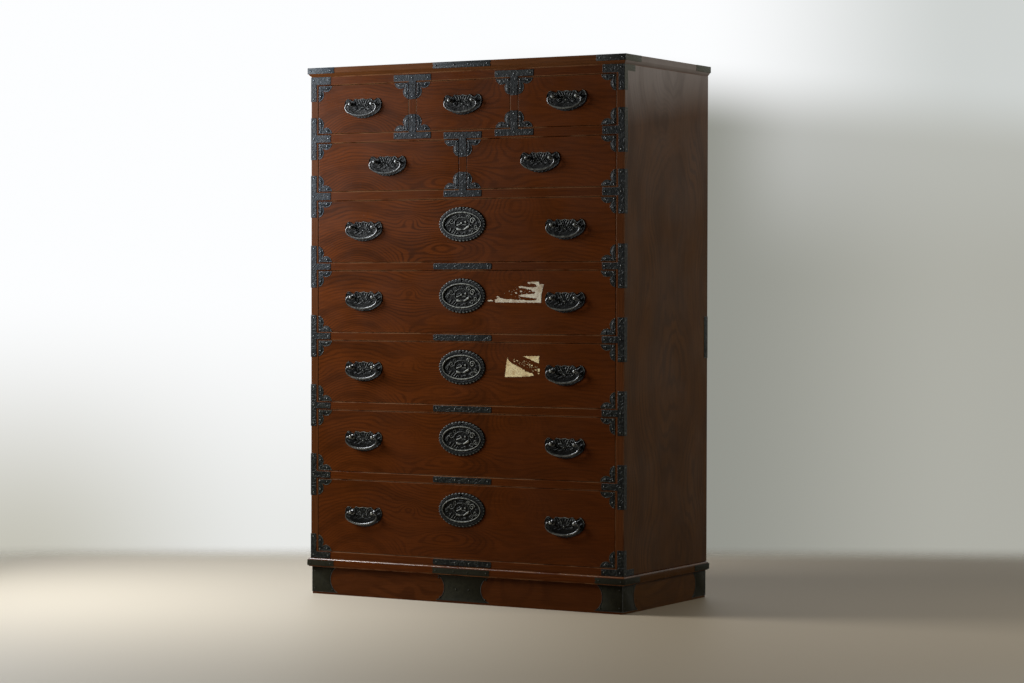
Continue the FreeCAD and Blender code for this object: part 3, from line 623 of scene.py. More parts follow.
def lobed_outline():
    """Two lobes about the corner, each a circle through three points, that meet in a cusp on the diagonal."""
    lobe = arc((LOBE_ARM, 0), LOBE_PEAK, (LOBE_CUSP, LOBE_CUSP), 12)
    return [(0, 0)] + lobe + [(z, x) for x, z in reversed(lobe[:-1])]


def flipped(outline, way_x=1, way_z=1):
    """An outline times 1 or -1 across and upwards."""
    return [(x * way_x, z * way_z) for x, z in outline]


# Relief plates

def smooth_line(corners, count):
    """An open line through corners, evenly spaced and eased by Catmull-Rom curves."""
    corners = np.asarray(corners, float)
    padded = np.concatenate([corners[:1], corners, corners[-1:]])
    step = np.linspace(0, len(corners) - 1 - 1e-9, count)
    index = step.astype(int)
    t = (step - index)[:, None]
    a, b, c, d = (padded[index + shift] for shift in range(4))
    return 0.5 * (2 * b + (c - a) * t + (2 * a - 5 * b + 4 * c - d) * t ** 2
                  + (3 * b - a - 3 * c + d) * t ** 3)


def grip_outline():
    """Right half from the top middle to the bottom middle, then its mirror image.

    The foot is a bow that falls by the square of x, drawn in between its teeth by a sine.
    """
    top = [(x * GRIP_HALF, z * GRIP_ABOVE) for x, z in GRIP_TOP_SHARES]
    end = [(x * GRIP_HALF, z * GRIP_BELOW) for x, z in GRIP_END_SHARES]
    corner_x, corner_z = end[-1]
    steps = GRIP_TEETH * 8 + 1
    x = np.linspace(corner_x, 0, steps)[1:]
    bow = 1 - (x / corner_x) ** 2
    scallop = np.abs(np.sin(np.linspace(0, GRIP_TEETH * math.pi, steps)[1:] / 2))
    foot = np.column_stack([x, corner_z - (GRIP_BELOW + corner_z) * bow + GRIP_TOOTH * bow * (1 - scallop)])
    right = np.concatenate([smooth_line(top + end, 90), foot])
    left = (right * (-1, 1))[::-1][1:-1]
    return turned_outline(np.concatenate([right, left]))


def lock_outline(count=304):
    """An oval whose rim is drawn in between convex teeth: a cosine of the angle gives how far."""
    angle = np.arange(count) * 2 * math.pi / count
    inward = LOCK_TOOTH * (1 - np.abs(np.cos(LOCK_TEETH / 2 * angle)))
    return np.column_stack([(LOCK_HALF[0] - inward) * np.cos(angle), (LOCK_HALF[1] - inward) * np.sin(angle)])


def half_round(away, reach):
    """The root of one minus the square of the distance, as a share of the reach."""
    return np.sqrt(np.clip(1 - (away / reach) ** 2, 0, 1))


def raised(x, z, strokes=(), domes=(), curls=()):
    """Height of a relief: round-backed strokes that taper, domes and spiral curls, the highest one counting.

    A stroke or a curl is a half round over its line. A stroke narrows towards its end; a curl's line is a
    spiral whose radius falls evenly with the turn, down to nothing after the turns that a curl takes.
    """
    height = np.zeros_like(x)
    for x0, z0, x1, z1, width, rise in strokes:
        way = np.array([x1 - x0, z1 - z0])
        share_along = np.clip(((x - x0) * way[0] + (z - z0) * way[1]) / (way @ way), 0, 1)
        away = np.hypot(x - x0 - share_along * way[0], z - z0 - share_along * way[1])
        taper = STROKE_START - (STROKE_START - STROKE_END) * share_along
        height = np.maximum(height, rise * half_round(away, width * taper))
    for cx, cz, radius, rise in domes:
        height = np.maximum(height, rise * half_round(np.hypot(x - cx, z - cz), radius))
    for cx, cz, radius, sense, width, rise in curls:
        out = np.hypot(x - cx, z - cz)
        turn = (sense * np.arctan2(z - cz, x - cx) / (2 * math.pi)) % 1
        for lap in (0, 1):
            line = radius * (1 - (turn + lap) / CURL_TURNS)
            away = np.where(line > CURL_HEART * radius, np.abs(out - line), width)
            height = np.maximum(height, rise * half_round(away, width))
    return height


def domed(rim, reach, rise):
    """A quarter round from the rim inwards: rise times the root of one minus the square of what is left."""
    return rise * np.sqrt(1 - (1 - np.clip(rim / reach, 0, 1)) ** 2)


def relief_plate(outline, eye, rings, height, place):
    """A plate of rings between its eye and its outline, raised by a height function, with a rim and a back.

    The height function takes x, z and the distance from the rim, and gives the height and how worn it is.
    """
    eye = np.asarray(eye, float)
    shares = (1 - (1 - np.linspace(0, 1, rings + 1)[1:]) ** 1.15)[:, None, None]
    flat = eye + shares * (outline - eye)
    reach = np.linalg.norm(outline - eye, axis=1)
    rise, worn = height(flat[..., 0], flat[..., 1], (1 - shares[..., 0]) * reach)
    top, top_worn = height(eye[:1], eye[1:], reach.min(keepdims=True))
    count = len(outline)
    points = np.concatenate([np.column_stack([eye[None], top]),
                             np.column_stack([flat.reshape(-1, 2), rise.ravel()]),
                             np.column_stack([outline, np.zeros(count)])])
    marks = np.concatenate([top_worn, worn.ravel(), np.zeros(count)])
    step = np.arange(count)
    fan = np.stack([np.zeros(count, int), 1 + step, 1 + (step + 1) % count], axis=1)
    back = (1 + rings * count + step)[None, ::-1]
    faces = [grid_faces(rings + 1, count) + 1, fan, back]
    return Shape(on_plane(points[:, :2], points[:, 2], place), faces, worn=marks)


def grip_height(x, z, rim):
    """Domed body with a raised rim, a ringed rosette and curls, fluted towards the lower teeth.

    The dome is a quarter round from the rim, and its bead e to the minus square of the distance from the
    bead's line. Relief counts inside the bead. The flutes are the size of a sine of x and fade inwards by e
    to the minus distance. How worn it is sums the bead, the relief and the flutes; the bead counts fully only
    on the upper part, a painted highlight where the rim faces the light.
    """
    side = np.abs(x)
    relief = raised(side, z, GRIP_STROKES, GRIP_DOMES, GRIP_CURLS)
    from_rosette = np.hypot(x - ROSETTE[0], z - ROSETTE[1])
    ring = half_round(from_rosette - ROSETTE_RING, 1.1)
    rosette = np.maximum(raised(x, z, domes=((*ROSETTE, 2.8, 2.2),)), 1.6 * ring)
    relief = np.where(from_rosette < ROSETTE_RING + 1.6, rosette, relief)
    inside = np.clip((rim - 1.8) / 1.6, 0, 1)
    low = np.clip((z + 30) / 10, 0.1, 1)
    bead = np.exp(-((rim - 0.9) / 0.8) ** 2)
    upper = np.clip((z + 10) / 12, 0.15, 1)
    flute = np.where(z < -24, 0.5 * np.abs(np.sin(x * math.pi / 11.5 + math.pi / 2)) * np.exp(-rim / 4), 0)
    rise = PLATE_BASE + domed(rim, 1.6, 1.9) + (0.9 * bead - 0.7 * inside) * upper
    rise += relief * inside * low + flute
    middle = np.clip((56 - side) / 12, 0.3, 1)
    # Times upper, the bead's wear is a painted highlight: bright on the upper rim, dim on the lower.
    worn = np.clip(1.2 * bead * upper + 0.42 * relief * low * inside * middle + 0.6 * flute, 0, 1)
    return rise, worn


def off_oval(x, z, half):
    """About the distance from an oval's line, and the share of the way out to it."""
    share_out = np.hypot(x / half[0], z / half[1])
    reach = np.hypot(x, z) / np.maximum(share_out, 1e-6)
    return (share_out - 1) * reach, share_out


def lock_height(x, z, rim):
    """Domed border of radial beads, a smooth raised ring, a sunk field of curls and a framed boss.

    The border is a quarter round from the rim. Its beads and hatching are a cosine and a sine of the angle,
    times e to the minus square of the distance from their line. The ring and the boss's frame are half
    rounds over ovals, and the field between them lies lower. How worn it is sums the same parts.
    """
    angle = np.arctan2(z / LOCK_HALF[1], x / LOCK_HALF[0])
    off_ring, ring_share = off_oval(x, z, RING_HALF)
    off_boss, _ = off_oval(x, z - BOSS_LIFT, BOSS_HALF)
    tooth = np.abs(np.cos(LOCK_TEETH / 2 * angle))
    bead = np.exp(-((rim - 2.6) / 2.1) ** 2) * tooth ** 0.7
    hatch = 0.6 * np.abs(np.sin(LOCK_TEETH * angle)) * np.exp(-((rim - 8) / 2.2) ** 2)
    ring = 2.4 * half_round(off_ring, 2.1)
    relief = raised(x, z, LOCK_STROKES, LOCK_DOMES, LOCK_CURLS)
    relief *= np.clip(-off_ring / 3 - 0.6, 0, 1) * np.clip(off_boss / 2 - 0.6, 0, 1)
    frame_band = 2.1 * half_round(off_boss, 1.9)
    boss = raised(x, z, BOSS_STROKES, BOSS_DOMES)
    field = np.where(ring_share < 1, 2.4 * np.clip(-off_ring / 2.4, 0, 1), 0)
    rise = PLATE_BASE + domed(rim, 8, 3.4) - field + 1.2 * bead + hatch + ring + relief
    rise += np.maximum(frame_band, boss)
    worn = 0.06 + 0.8 * bead + 0.5 * ring + 0.34 * relief + 0.3 * frame_band + 0.32 * boss + 0.9 * hatch
    hole = np.hypot(x, z - KEYHOLE_LIFT) < KEYHOLE_RADIUS
    return np.where(hole, 0.12, rise), np.where(hole, 0, np.clip(worn, 0, 1))


def post_shape(spot, place):
    """A turned post: a washer, a waist and a ball head that the pin passes through."""
    return revolved(POST_PROFILE, spot_on_plane(spot, place), OUTWARD, 24)


def bail_line():
    """Right half of a bail: pin, round shoulder, then a quarter oval down to the lowest point."""
    turn = np.radians(np.linspace(90, 0, 9))
    shoulder = np.column_stack([BAIL_HALF - BAIL_SHOULDER * (1 - np.cos(turn)),
                                BAIL_SHOULDER * (np.sin(turn) - 1)])
    turn = np.radians(np.linspace(0, 90, 25))[1:]
    bow = np.column_stack([BAIL_HALF * np.cos(turn),
                           -BAIL_SHOULDER - (BAIL_DROP - BAIL_SHOULDER) * np.sin(turn)])
    pin = [(x, 0) for x in (PIN_END, PIN_END + 0.7, POST_OFFSET, POST_OFFSET + 5)]
    return np.concatenate([pin, shoulder, bow])


def bail_shape(pivot, sides=20):
    """A bar carried along the bail's line, thin at its pins and full in its middle.

    Its section is a softly squared round: the sine and the cosine of the angle, each raised to a power a
    little under one. Its half width and half depth grow with the drop below the pins.
    """
    half = bail_line()
    line = np.concatenate([half, (half * (-1, 1))[::-1][1:]])
    run = np.gradient(line, axis=0)
    run /= np.linalg.norm(run, axis=1, keepdims=True)
    normal = np.column_stack([-run[:, 1], run[:, 0]])
    fullness = np.clip(-line[:, 1] / BAIL_DROP, 0, 1)
    level = line[:, 1] > -1
    on_pin = (np.abs(line[:, 0]) < POST_OFFSET + 5.5) & level
    tip = (np.abs(line[:, 0]) < PIN_END + 0.3) & level
    taper = np.where(tip, 0.7, 1)
    wide = np.where(on_pin, PIN_RADIUS, 2.35 + 0.75 * fullness ** 0.7) * taper
    deep = np.where(on_pin, PIN_RADIUS, 2.5 + 0.4 * fullness) * taper
    angle = np.arange(sides) * 2 * math.pi / sides
    side_way = np.sign(np.cos(angle)) * np.abs(np.cos(angle)) ** BAIL_SQUARE
    out_way = np.sign(np.sin(angle)) * np.abs(np.sin(angle)) ** BAIL_SQUARE
    flat = line[:, None] + (wide[:, None] * side_way)[..., None] * normal[:, None]
    lift = deep[:, None] * out_way
    worn = 0.3 + 0.42 * np.clip(out_way, 0, 1)[None] * (0.55 + 0.45 * fullness[:, None])
    return Shape(on_plane(flat.reshape(-1, 2), lift.ravel(), pivot), closed_rings(len(line), sides),
                 worn=worn.ravel())


# Shader helpers

class Field:
    """A value of a shader: sums, differences and products of fields make the math nodes for them."""

    def __init__(self, socket):
        self.socket = socket
        self.tree = socket.id_data

    def __add__(self, other):
        return reckon("ADD", self, other)

    def __sub__(self, other):
        return reckon("SUBTRACT", self, other)

    def __rsub__(self, other):
        return reckon("SUBTRACT", other, self)

    def __mul__(self, other):
        return reckon("MULTIPLY", self, other)

    def __truediv__(self, other):
        return reckon("DIVIDE", self, other)

    def __abs__(self):
        return reckon("ABSOLUTE", self)

    def dot(self, way):
        return reckon("DOT_PRODUCT", self, way)

    def part(self, axis):
        return Node(self.tree, "ShaderNodeSeparateXYZ", {0: self})[axis]

    def ease(self, low, high, to_low=0.0, to_high=1.0):
        """A smooth step from one value to another while the field goes from low to high."""
        return Node(self.tree, "ShaderNodeMapRange", {"Value": self, "From Min": low, "From Max": high,
                                                      "To Min": to_low, "To Max": to_high},
                    interpolation_type="SMOOTHSTEP")["Result"]


class Node:
    """A node added to a tree: its inputs are set or joined, and its outputs are read as fields."""

    def __init__(self, tree, kind, inputs=None, **settings):
        self.node = tree.nodes.new(kind)
        for name, value in settings.items():
            setattr(self.node, name, value)
        feed(self.node, inputs or {})

    def __getitem__(self, output):
        return Field(self.node.outputs[output])


def feed(node, inputs):
    """Set a node's inputs to numbers, or join them to fields."""
    for key, value in inputs.items():
        if isinstance(value, Field):
            value.tree.links.new(value.socket, node.inputs[key])
        else:
            node.inputs[key].default_value = value


def reckon(operation, *values, **settings):
    """A math node; a vector among its fields makes it a vector one."""
    fields = [value for value in values if isinstance(value, Field)]
    vector = any(field.socket.type == "VECTOR" for field in fields)
    node = Node(fields[0].tree, "ShaderNodeVectorMath" if vector else "ShaderNodeMath",
                dict(enumerate(values)), operation=operation, **settings)
    return node["Value" if operation in ("DOT_PRODUCT", "LENGTH") else 0]


def blend(factor, first, second, kind="MIX"):
    """Two colours mixed by a factor."""
    tree = next(value.tree for value in (factor, first, second) if isinstance(value, Field))
    first, second = (value if isinstance(value, Field) else (*value, 1) for value in (first, second))
    return Node(tree, "ShaderNodeMix", {0: factor, 6: first, 7: second}, data_type="RGBA", blend_type=kind)[2]


def shade(colour, share):
    """A colour times a share."""
    return tuple(share * value for value in colour)


def noise(vector, stretch, detail=3.0, roughness=0.5):
    """Noise on stretched coordinates: stretch counts the patches per metre along each axis."""
    placed = Node(vector.tree, "ShaderNodeMapping", {"Vector": vector, "Scale": stretch})[0]
    return Node(vector.tree, "ShaderNodeTexNoise", {"Vector": placed, "Scale": 1.0, "Detail": detail,
                                                    "Roughness": roughness})["Fac"]


def bumped(height, strength, distance):
    """The normal of a surface that a height raises, at most by the distance."""
    inputs = {"Strength": strength, "Distance": distance, "Height": height}
    return Node(height.tree, "ShaderNodeBump", inputs)[0]


def object_point(tree):
    """The shaded point in the mesh's own metres."""
    return Node(tree, "ShaderNodeTexCoord")["Object"]


def mark_of(tree, name, output="Fac"):
    """A mark that the mesh carries at its points."""
    return Node(tree, "ShaderNodeAttribute", attribute_name=name)[output]


def new_group(name, inputs, outputs):
    """A shader group whose inputs are points or numbers with defaults, and whose outputs are numbers."""
    tree = bpy.data.node_groups.new(name, "ShaderNodeTree")
    for label, default in inputs.items():
        kind = "NodeSocketVector" if isinstance(default, tuple) else "NodeSocketFloat"
        socket = tree.interface.new_socket(label, in_out="INPUT", socket_type=kind)
        socket.default_value = default
    for label in outputs:
        tree.interface.new_socket(label, in_out="OUTPUT", socket_type="NodeSocketFloat")
    return tree, Node(tree, "NodeGroupInput")


def use_group(tree, name, inputs):
    """A node that runs one of the shader groups."""
    return Node(tree, "ShaderNodeGroup", node_tree=bpy.data.node_groups[name], inputs=inputs)


# Figures of the wood

# Hills of the veneer's flame figure: where they stand from the chest's middle and the row's
# middle, how far they reach along and across, and how high they rise, in metres and rings.
FLAME_HILLS = (
    (-0.345, -0.135, 0.150, 0.135, 1.45), (-0.045, -0.045, 0.135, 0.042, 0.62),
    (-0.170, 0.030, 0.030, 0.020, 0.22), (0.170, 0.075, 0.075, 0.060, 0.55),
    (0.330, -0.150, 0.170, 0.110, 0.60), (-0.110, 0.100, 0.110, 0.040, -0.30),
)
FLAME_SLOPE = 2.6

# Pale heart and deeper stretch of the flame's ground: the same numbers, for hills as tall as the chest
FLAME_HEART = (-0.12, 0, 0.09, 9, -0.55)
FLAME_DEEP = (0.21, 0, 0.12, 9, 0.26)

# Hills of the side boards' figure: height on the board, place across it, reaches and rise
ARCH_HILLS = (
    (1.470, 0.050, 0.13, 9.0, 0.34), (1.090, 0.040, 0.17, 9.0, 0.40), (0.620, 0.025, 0.26, 9.0, 0.56),
    (0.140, 0.030, 0.16, 9.0, 0.40), (1.320, 0.020, 0.05, 0.06, -0.22),
)
ARCH_MIDDLE = 0.055
ARCH_RIDGE = 13.0


def make_hill_group():
    """One hill: its rise times e to the minus square of the distance, in units of its reach."""
    tree, given = new_group("Figure hill", {"Point": (0, 0, 0), "Centre": (0, 0, 0), "Reach": (1, 1, 1),
                                            "Rise": 1.0}, ("Height",))
    away = (given["Point"] - given["Centre"]) / given["Reach"]
    height = reckon("EXPONENT", away.dot(away) * -1.0) * given["Rise"]
    Node(tree, "NodeGroupOutput", {"Height": height})


def hill(spot, x, y, reach_x, reach_y, rise):
    """Height of one hill at a spot."""
    inputs = {"Point": spot, "Centre": (x, y, 0), "Reach": (reach_x, reach_y, 1), "Rise": rise}
    return use_group(spot.tree, "Figure hill", inputs)["Height"]


def new_figure(name):
    """A group for a board's figure; gives the spot on the board, that spot moved by the leaf, its lines."""
    tree, given = new_group(name, {"Grain": (0, 0, 0), "Leaf": 0.0, "Lines": 14.0}, ("Rings", "Tone"))
    spot = given["Grain"] * (1, 1, 0)
    return spot, spot + Node(tree, "ShaderNodeCombineXYZ", {"Z": given["Leaf"]})[0], given["Lines"]


def wave(height, lines):
    """The sine of a height, in turns per line."""
    return reckon("SINE", height * lines * (2 * math.pi))


def make_arch_group():
    """A sliced board that stands upright: contours of hills on a ridge, whose lines make pointed arches."""
    spot, seeded, lines = new_figure("Arch figure")
    total = noise(seeded, (7, 22, 1.7), 2.0, 0.55) * 0.16 + noise(seeded, (2.6, 8, 1), 1.0) * 0.34
    off_ridge = spot.part("Y") - ARCH_MIDDLE
    total = total - off_ridge * off_ridge * ARCH_RIDGE
    for place in ARCH_HILLS:
        total = total + hill(spot, *place)
    patches = noise(seeded, (4, 9, 2.3), 2.0).ease(0.34, 0.62, 0.2, 1.0)
    clouds = noise(seeded, (5, 14, 3.1), 3.0, 0.6).ease(0.36, 0.68)
    Node(spot.tree, "NodeGroupOutput", {"Rings": wave(total, lines).ease(-0.2, 1.0) * patches,
                                        "Tone": (wave(total, 2.2).ease(0.0, 0.95) + clouds) * 0.5})


def make_flame_group():
    """Contour lines over hills, as a sliced log shows them: rings are dark lines, tone is their ground.

    The ground is pale at the leaf's heart, left of the middle, and deeper to the right of it.
    """
    spot, seeded, lines = new_figure("Flame figure")
    total = noise(seeded, (9, 26, 1.7), 2.0, 0.55) * 0.13 + noise(seeded, (3.1, 7.5, 1), 1.0) * 0.36
    total = total - spot.part("Y") * FLAME_SLOPE
    for place in FLAME_HILLS:
        total = total + hill(spot, *place)
    calm = spot.part("X").ease(-0.02, 0.24, 1.0, 0.45)
    patches = noise(seeded, (5, 12, 2.3), 2.0).ease(0.3, 0.62)
    depth = (patches * 0.75 + 0.25) * calm
    clouds = noise(seeded, (6, 14, 3.1), 3.0, 0.6).ease(0.36, 0.68)
    toned = (wave(total, 1.6).ease(0.1, 0.95) + clouds) * (calm * 0.6)
    toned = toned * (hill(spot, *FLAME_HEART) + 1.0) + hill(spot, *FLAME_DEEP)
    Node(spot.tree, "NodeGroupOutput", {"Rings": wave(total, lines).ease(-0.2, 1.0) * depth, "Tone": toned})


def make_straight_group():
    """Lines that run along a board, a little bent, for rails and plain boards."""
    spot, seeded, lines = new_figure("Straight grain")
    bend = noise(seeded, (2.6, 15, 1), 2.0)
    rings = wave(spot.part("Y") + bend * 0.05, lines).ease(-0.3, 1.0) * noise(seeded, (7, 30, 1.3), 2.0)
    Node(spot.tree, "NodeGroupOutput", {"Rings": rings, "Tone": bend})


def make_fibre_group():
    """Fine fibres and open pores, long along the grain."""
    tree, given = new_group("Wood fibre", {"Grain": (0, 0, 0)}, ("Fibre", "Pores"))
    pores = noise(given["Grain"], (95, 2300, 900), 2.0).ease(0.6, 0.74)
    Node(tree, "NodeGroupOutput", {"Fibre": noise(given["Grain"], (14, 620, 300), 4.0, 0.6), "Pores": pores})


def make_edge_group():
    """Where an edge is rubbed pale: near the edge, in broken stretches, and little by the left stile; by the
    right stile the pale edge is a painted highlight.
    """
    tree, given = new_group("Rubbed and highlit edge", {"Edge": 1.0, "Point": (0, 0, 0), "Reach": 1.5 * MM}, ("Mask",))
    near = given["Edge"].ease(given["Reach"], 0.0)
    breaks = noise(given["Point"], (11, 11, 11), 4.0, 0.65).ease(0.34, 0.56)
    across = given["Point"].part("X")
    inner = abs(across).ease(*BY_THE_STILE, 1.0, 0.25)
    kept = reckon("MAXIMUM", inner, across.ease(*BY_THE_STILE, 0.0, 0.75))
    Node(tree, "NodeGroupOutput", {"Mask": near * (breaks * kept)})


def make_chased_group():
    """Hammered sheet with curling chased lines: a height for the bump, the lines, and patches for colour."""
    tree, given = new_group("Chased iron", {"Point": (0, 0, 0)}, ("Height", "Lines", "Patches"))
    flat = given["Point"] * (1, 0.9, 1)
    dents = Node(tree, "ShaderNodeTexVoronoi", {"Vector": flat, "Scale": 190.0, "Randomness": 1.0},
                 feature="SMOOTH_F1")["Distance"]
    curls = Node(tree, "ShaderNodeTexWave", {"Vector": flat, "Scale": 26.0, "Distortion": 11.0, "Detail": 1.0,
                                             "Detail Scale": 2.6}, wave_type="RINGS")["Fac"]
    lines = curls.ease(0.55, 0.95)
    height = dents * 0.5 + lines * 0.6 + noise(given["Point"], (900, 900, 900), 3.0) * 0.2
    patches = noise(given["Point"], (110, 110, 110), 4.0, 0.7)
    Node(tree, "NodeGroupOutput", {"Height": height, "Lines": lines, "Patches": patches})


# Finishes

def new_material(name):
    """A material with its shader and output joined; gives its tree and the shader."""
    material = bpy.data.materials.new(name)
    material.use_nodes = True
    return material.node_tree, material.node_tree.nodes["Principled BSDF"]


def wood_material(name, light, dark, figure="Straight grain", leaf=0.0, lines=120, centre=0.0, line_depth=0.5,
                  tone_depth=0.6, rough=0.33, rubbed=0.6, reach=2 * MM, painted_sheen=None, ior=1.11, flank=False,
                  moulded=0.0):
    """Wood with a figure, fibres and pores, rubbed along its edges.

    painted_sheen gives the heights between which the right side goes pale, a painted sheen; flank gives the
    ends the sides' colours; moulded is how far from its edge a moulding gleams.
    """
    wood = bpy.context.scene.chest_wood
    tree, shader = new_material(name)
    point = object_point(tree)
    grain = mark_of(tree, "grain", "Vector")
    edge = mark_of(tree, "edge")
    rings = use_group(tree, figure, {"Grain": grain - (0, centre, 0), "Leaf": leaf, "Lines": lines})
    fibre = use_group(tree, "Wood fibre", {"Grain": grain})
    facing = Node(tree, "ShaderNodeNewGeometry")["Normal"].part("X")
    sideways = abs(facing).ease(0.5, 0.8)
    pores = shade(dark, 0.45)
    if flank:
        light = blend(sideways, light, wood.side_light)
        dark = blend(sideways, dark, wood.side_dark)
    ground = blend(rings["Tone"] * tone_depth, light, dark)
    lined = blend(rings["Rings"] * line_depth, ground, dark)
    lined = blend(1.0, lined, fibre["Fibre"].ease(0.3, 0.7, 0.82, 1.2), "MULTIPLY")
    final = blend(fibre["Pores"] * 0.45, lined, pores)
    # Painted sheen: the right faces go pale high up, a little also lower down, and more where the figure is
    # pale.
    if painted_sheen:
        height = point.dot((0, -0.13, 1))
        low_down = height.ease(painted_sheen[0] - 0.35, painted_sheen[0], 0.0, 0.06)
        pale = reckon("MAXIMUM", height.ease(*painted_sheen) * 0.76, low_down)
        figured = (rings["Tone"] + rings["Rings"] * 0.3).ease(0.0, 1.2, 1.08, 0.8)
        final = blend(pale * (facing.ease(0.5, 0.8) * figured), final, wood.painted_sheen)
    # The rubbed edge is worn wood and also a painted highlight along the edge, most of all by the right
    # stile.
    mask = use_group(tree, "Rubbed and highlit edge", {"Edge": edge, "Point": point, "Reach": reach})["Mask"]
    height = fibre["Fibre"] * 0.5 - (fibre["Pores"] * 0.8 + rings["Rings"] * 0.35)
    feed(shader, {"Base Color": blend(mask * rubbed, final, wood.worn), "IOR": ior,
                  "Roughness": noise(point, (7, 7, 7), 4.0).ease(0.3, 0.7, rough - 0.06, rough + 0.08),
                  "Normal": bumped(height, 0.2, 0.25 * MM)})
    if moulded:
        high = point.part("Z").ease(LEDGE_HIGH.z - 0.012, LEDGE_HIGH.z - 0.006)
        gleam = edge.ease(moulded, 0.5 * moulded) * (high * sideways.ease(0.0, 1.0, 1.0, 0.35))
        feed(shader, {"Specular IOR Level": gleam.ease(0.0, 1.0, 0.03, 0.5)})


def iron_material(name, base, rough=0.36, bump=0.7, chasing=0.0, soot=0.3, bright=0.85, ior=1.3, stained=1.0,
                  painted_sheen=None, patina_and_painted_light=SHEET_PAINTED_LIGHT, foot_ridge_share=1.0):
    """Dark iron: sooty in its hollows, rubbed on its ridges, with hammer marks and chased lines.

    Stained is how deep its dark stains are; painted_sheen gives the heights between which its right faces go
    pale, a painted sheen;
    patina_and_painted_light is the tint at the chest's foot, at its top right and at its top left, a painted
    light where it changes with place; foot_ridge_share is the share of the bright ridges that is left at the
    foot.
    """
    iron = bpy.context.scene.chest_iron
    tree, shader = new_material(name)
    point = object_point(tree)
    high = point.part("Z")
    marks = use_group(tree, "Chased iron", {"Point": point})
    worn = mark_of(tree, "worn")
    ground = blend(marks["Patches"].ease(0.36, 0.6, 1.0 - stained, 1.0), iron.hollow, base)
    ground = blend(marks["Lines"] * chasing, ground, shade(iron.rubbed, 0.45))
    ground = blend(worn.ease(0.0, soot), iron.hollow, ground)
    # Painted sheen: right faces, and a band along the top, go pale high up.
    if painted_sheen:
        sideways = Node(tree, "ShaderNodeNewGeometry")["Normal"].part("X").ease(0.5, 0.8)
        pale = reckon("MAXIMUM", sideways, high.ease(painted_sheen[1] - 0.06, painted_sheen[1], 0.0, 0.15))
        ground = blend(pale * high.ease(*painted_sheen), ground, iron.painted_sheen)
    broken = marks["Patches"].ease(0.34, 0.58, 0.25, 1.0)
    # The bright ridges are kept only in part towards the foot: darker towards the bottom.
    ridge = worn.ease(0.5, 1.0) * (broken * bright) * high.ease(0.2, 1.1, foot_ridge_share, 1.0)
    # The tints by place are a painted light: the sheet iron is bluer towards the window at the top left.
    foot, right, left = patina_and_painted_light
    tint = blend(high.ease(0.5, 1.15), foot, blend(point.part("X").ease(0.4, -0.45), right, left))
    feed(shader, {"Base Color": blend(1.0, blend(ridge, ground, iron.rubbed), tint, "MULTIPLY"), "IOR": ior,
                  "Roughness": worn.ease(0.2, 0.9, rough + 0.08, rough - 0.08),
                  "Normal": bumped(marks["Height"], bump, 1.0 * MM)})


def make_paper(name, clean, foxed):
    """Old paper, foxed and thin, with the wood's red showing through near the tears."""
    tree, shader = new_material(name)
    point = object_point(tree)
    aged = blend(noise(point, (60, 60, 60), 5.0, 0.65).ease(0.42, 0.72), clean, foxed)
    stain = mark_of(tree, "worn") * noise(point, (420, 420, 420), 3.0, 0.7).ease(0.45, 0.62)
    feed(shader, {"Base Color": blend(stain, aged, PAPER_STAIN), "Roughness": 0.85,
                  "Normal": bumped(noise(point, (1400, 1400, 500), 3.0), 0.4, 0.2 * MM)})


def make_keyhole_shade():
    """A near-black disc in the keyhole: painted shade of its hole."""
    tree, shader = new_material("Keyhole painted shade")
    dust = noise(object_point(tree), (500, 500, 500))
    feed(shader, {"Base Color": blend(dust, (0.001, 0.001, 0.001), (0.004, 0.004, 0.004)), "Roughness": 0.9})


def make_woods(wood):
    """Every finish of the boards. Each row's fronts are one leaf of the same veneer."""
    light, dark = wood.front_light, wood.front_dark
    for number, (floor, ceiling) in enumerate(ROW_SPANS):
        depth = LEAF_DEPTHS[number]
        wood_material(f"Front leaf {number}", shade(light, LEAF_TONES[number]), dark, "Flame figure",
                      leaf=number * 0.21, lines=14, centre=(floor + ceiling) / 2, line_depth=depth,
                      tone_depth=0.35 + 0.35 * depth)
    # Rails and stiles rub their edges fully: worn wood and a painted highlight along them.
    wood_material("Rail wood", light, dark, rubbed=1.0, reach=2.6 * MM)
    # The right stile's wood is a copy 1.2 times lighter than the left's: painted light.
    for side, tone in (("left", 1.0), ("right", 1.2)):
        wood_material(f"Stile wood {side}", shade(wood.stile_light, tone), shade(wood.stile_dark, tone),
                      rubbed=1.0, reach=2.6 * MM)
    wood_material("Cap wood", wood.cap_light, wood.cap_dark, rubbed=0.8, painted_sheen=(1.3, 1.44), flank=True)
    # The ledge's wide pale edge is worn wood and a painted highlight along its moulding.
    wood_material("Ledge wood", light, dark, rough=0.22, rubbed=1.0, reach=5 * MM, ior=1.5, flank=True,
                  moulded=6 * MM)
    wood_material("Plinth wood", wood.plinth_light, dark, "Flame figure", leaf=3.3, lines=5, line_depth=0.6,
                  flank=True)
    wood_material("Side wood", wood.side_light, wood.side_dark, "Arch figure", leaf=5.1, lines=14,
                  line_depth=0.8, tone_depth=0.8, rough=0.45, painted_sheen=(1.285, 1.48), ior=1.15)
    wood_material("Inner wood", wood.inner_light, wood.inner_dark, lines=60, line_depth=0.85, rough=0.62,
                  rubbed=0.0)


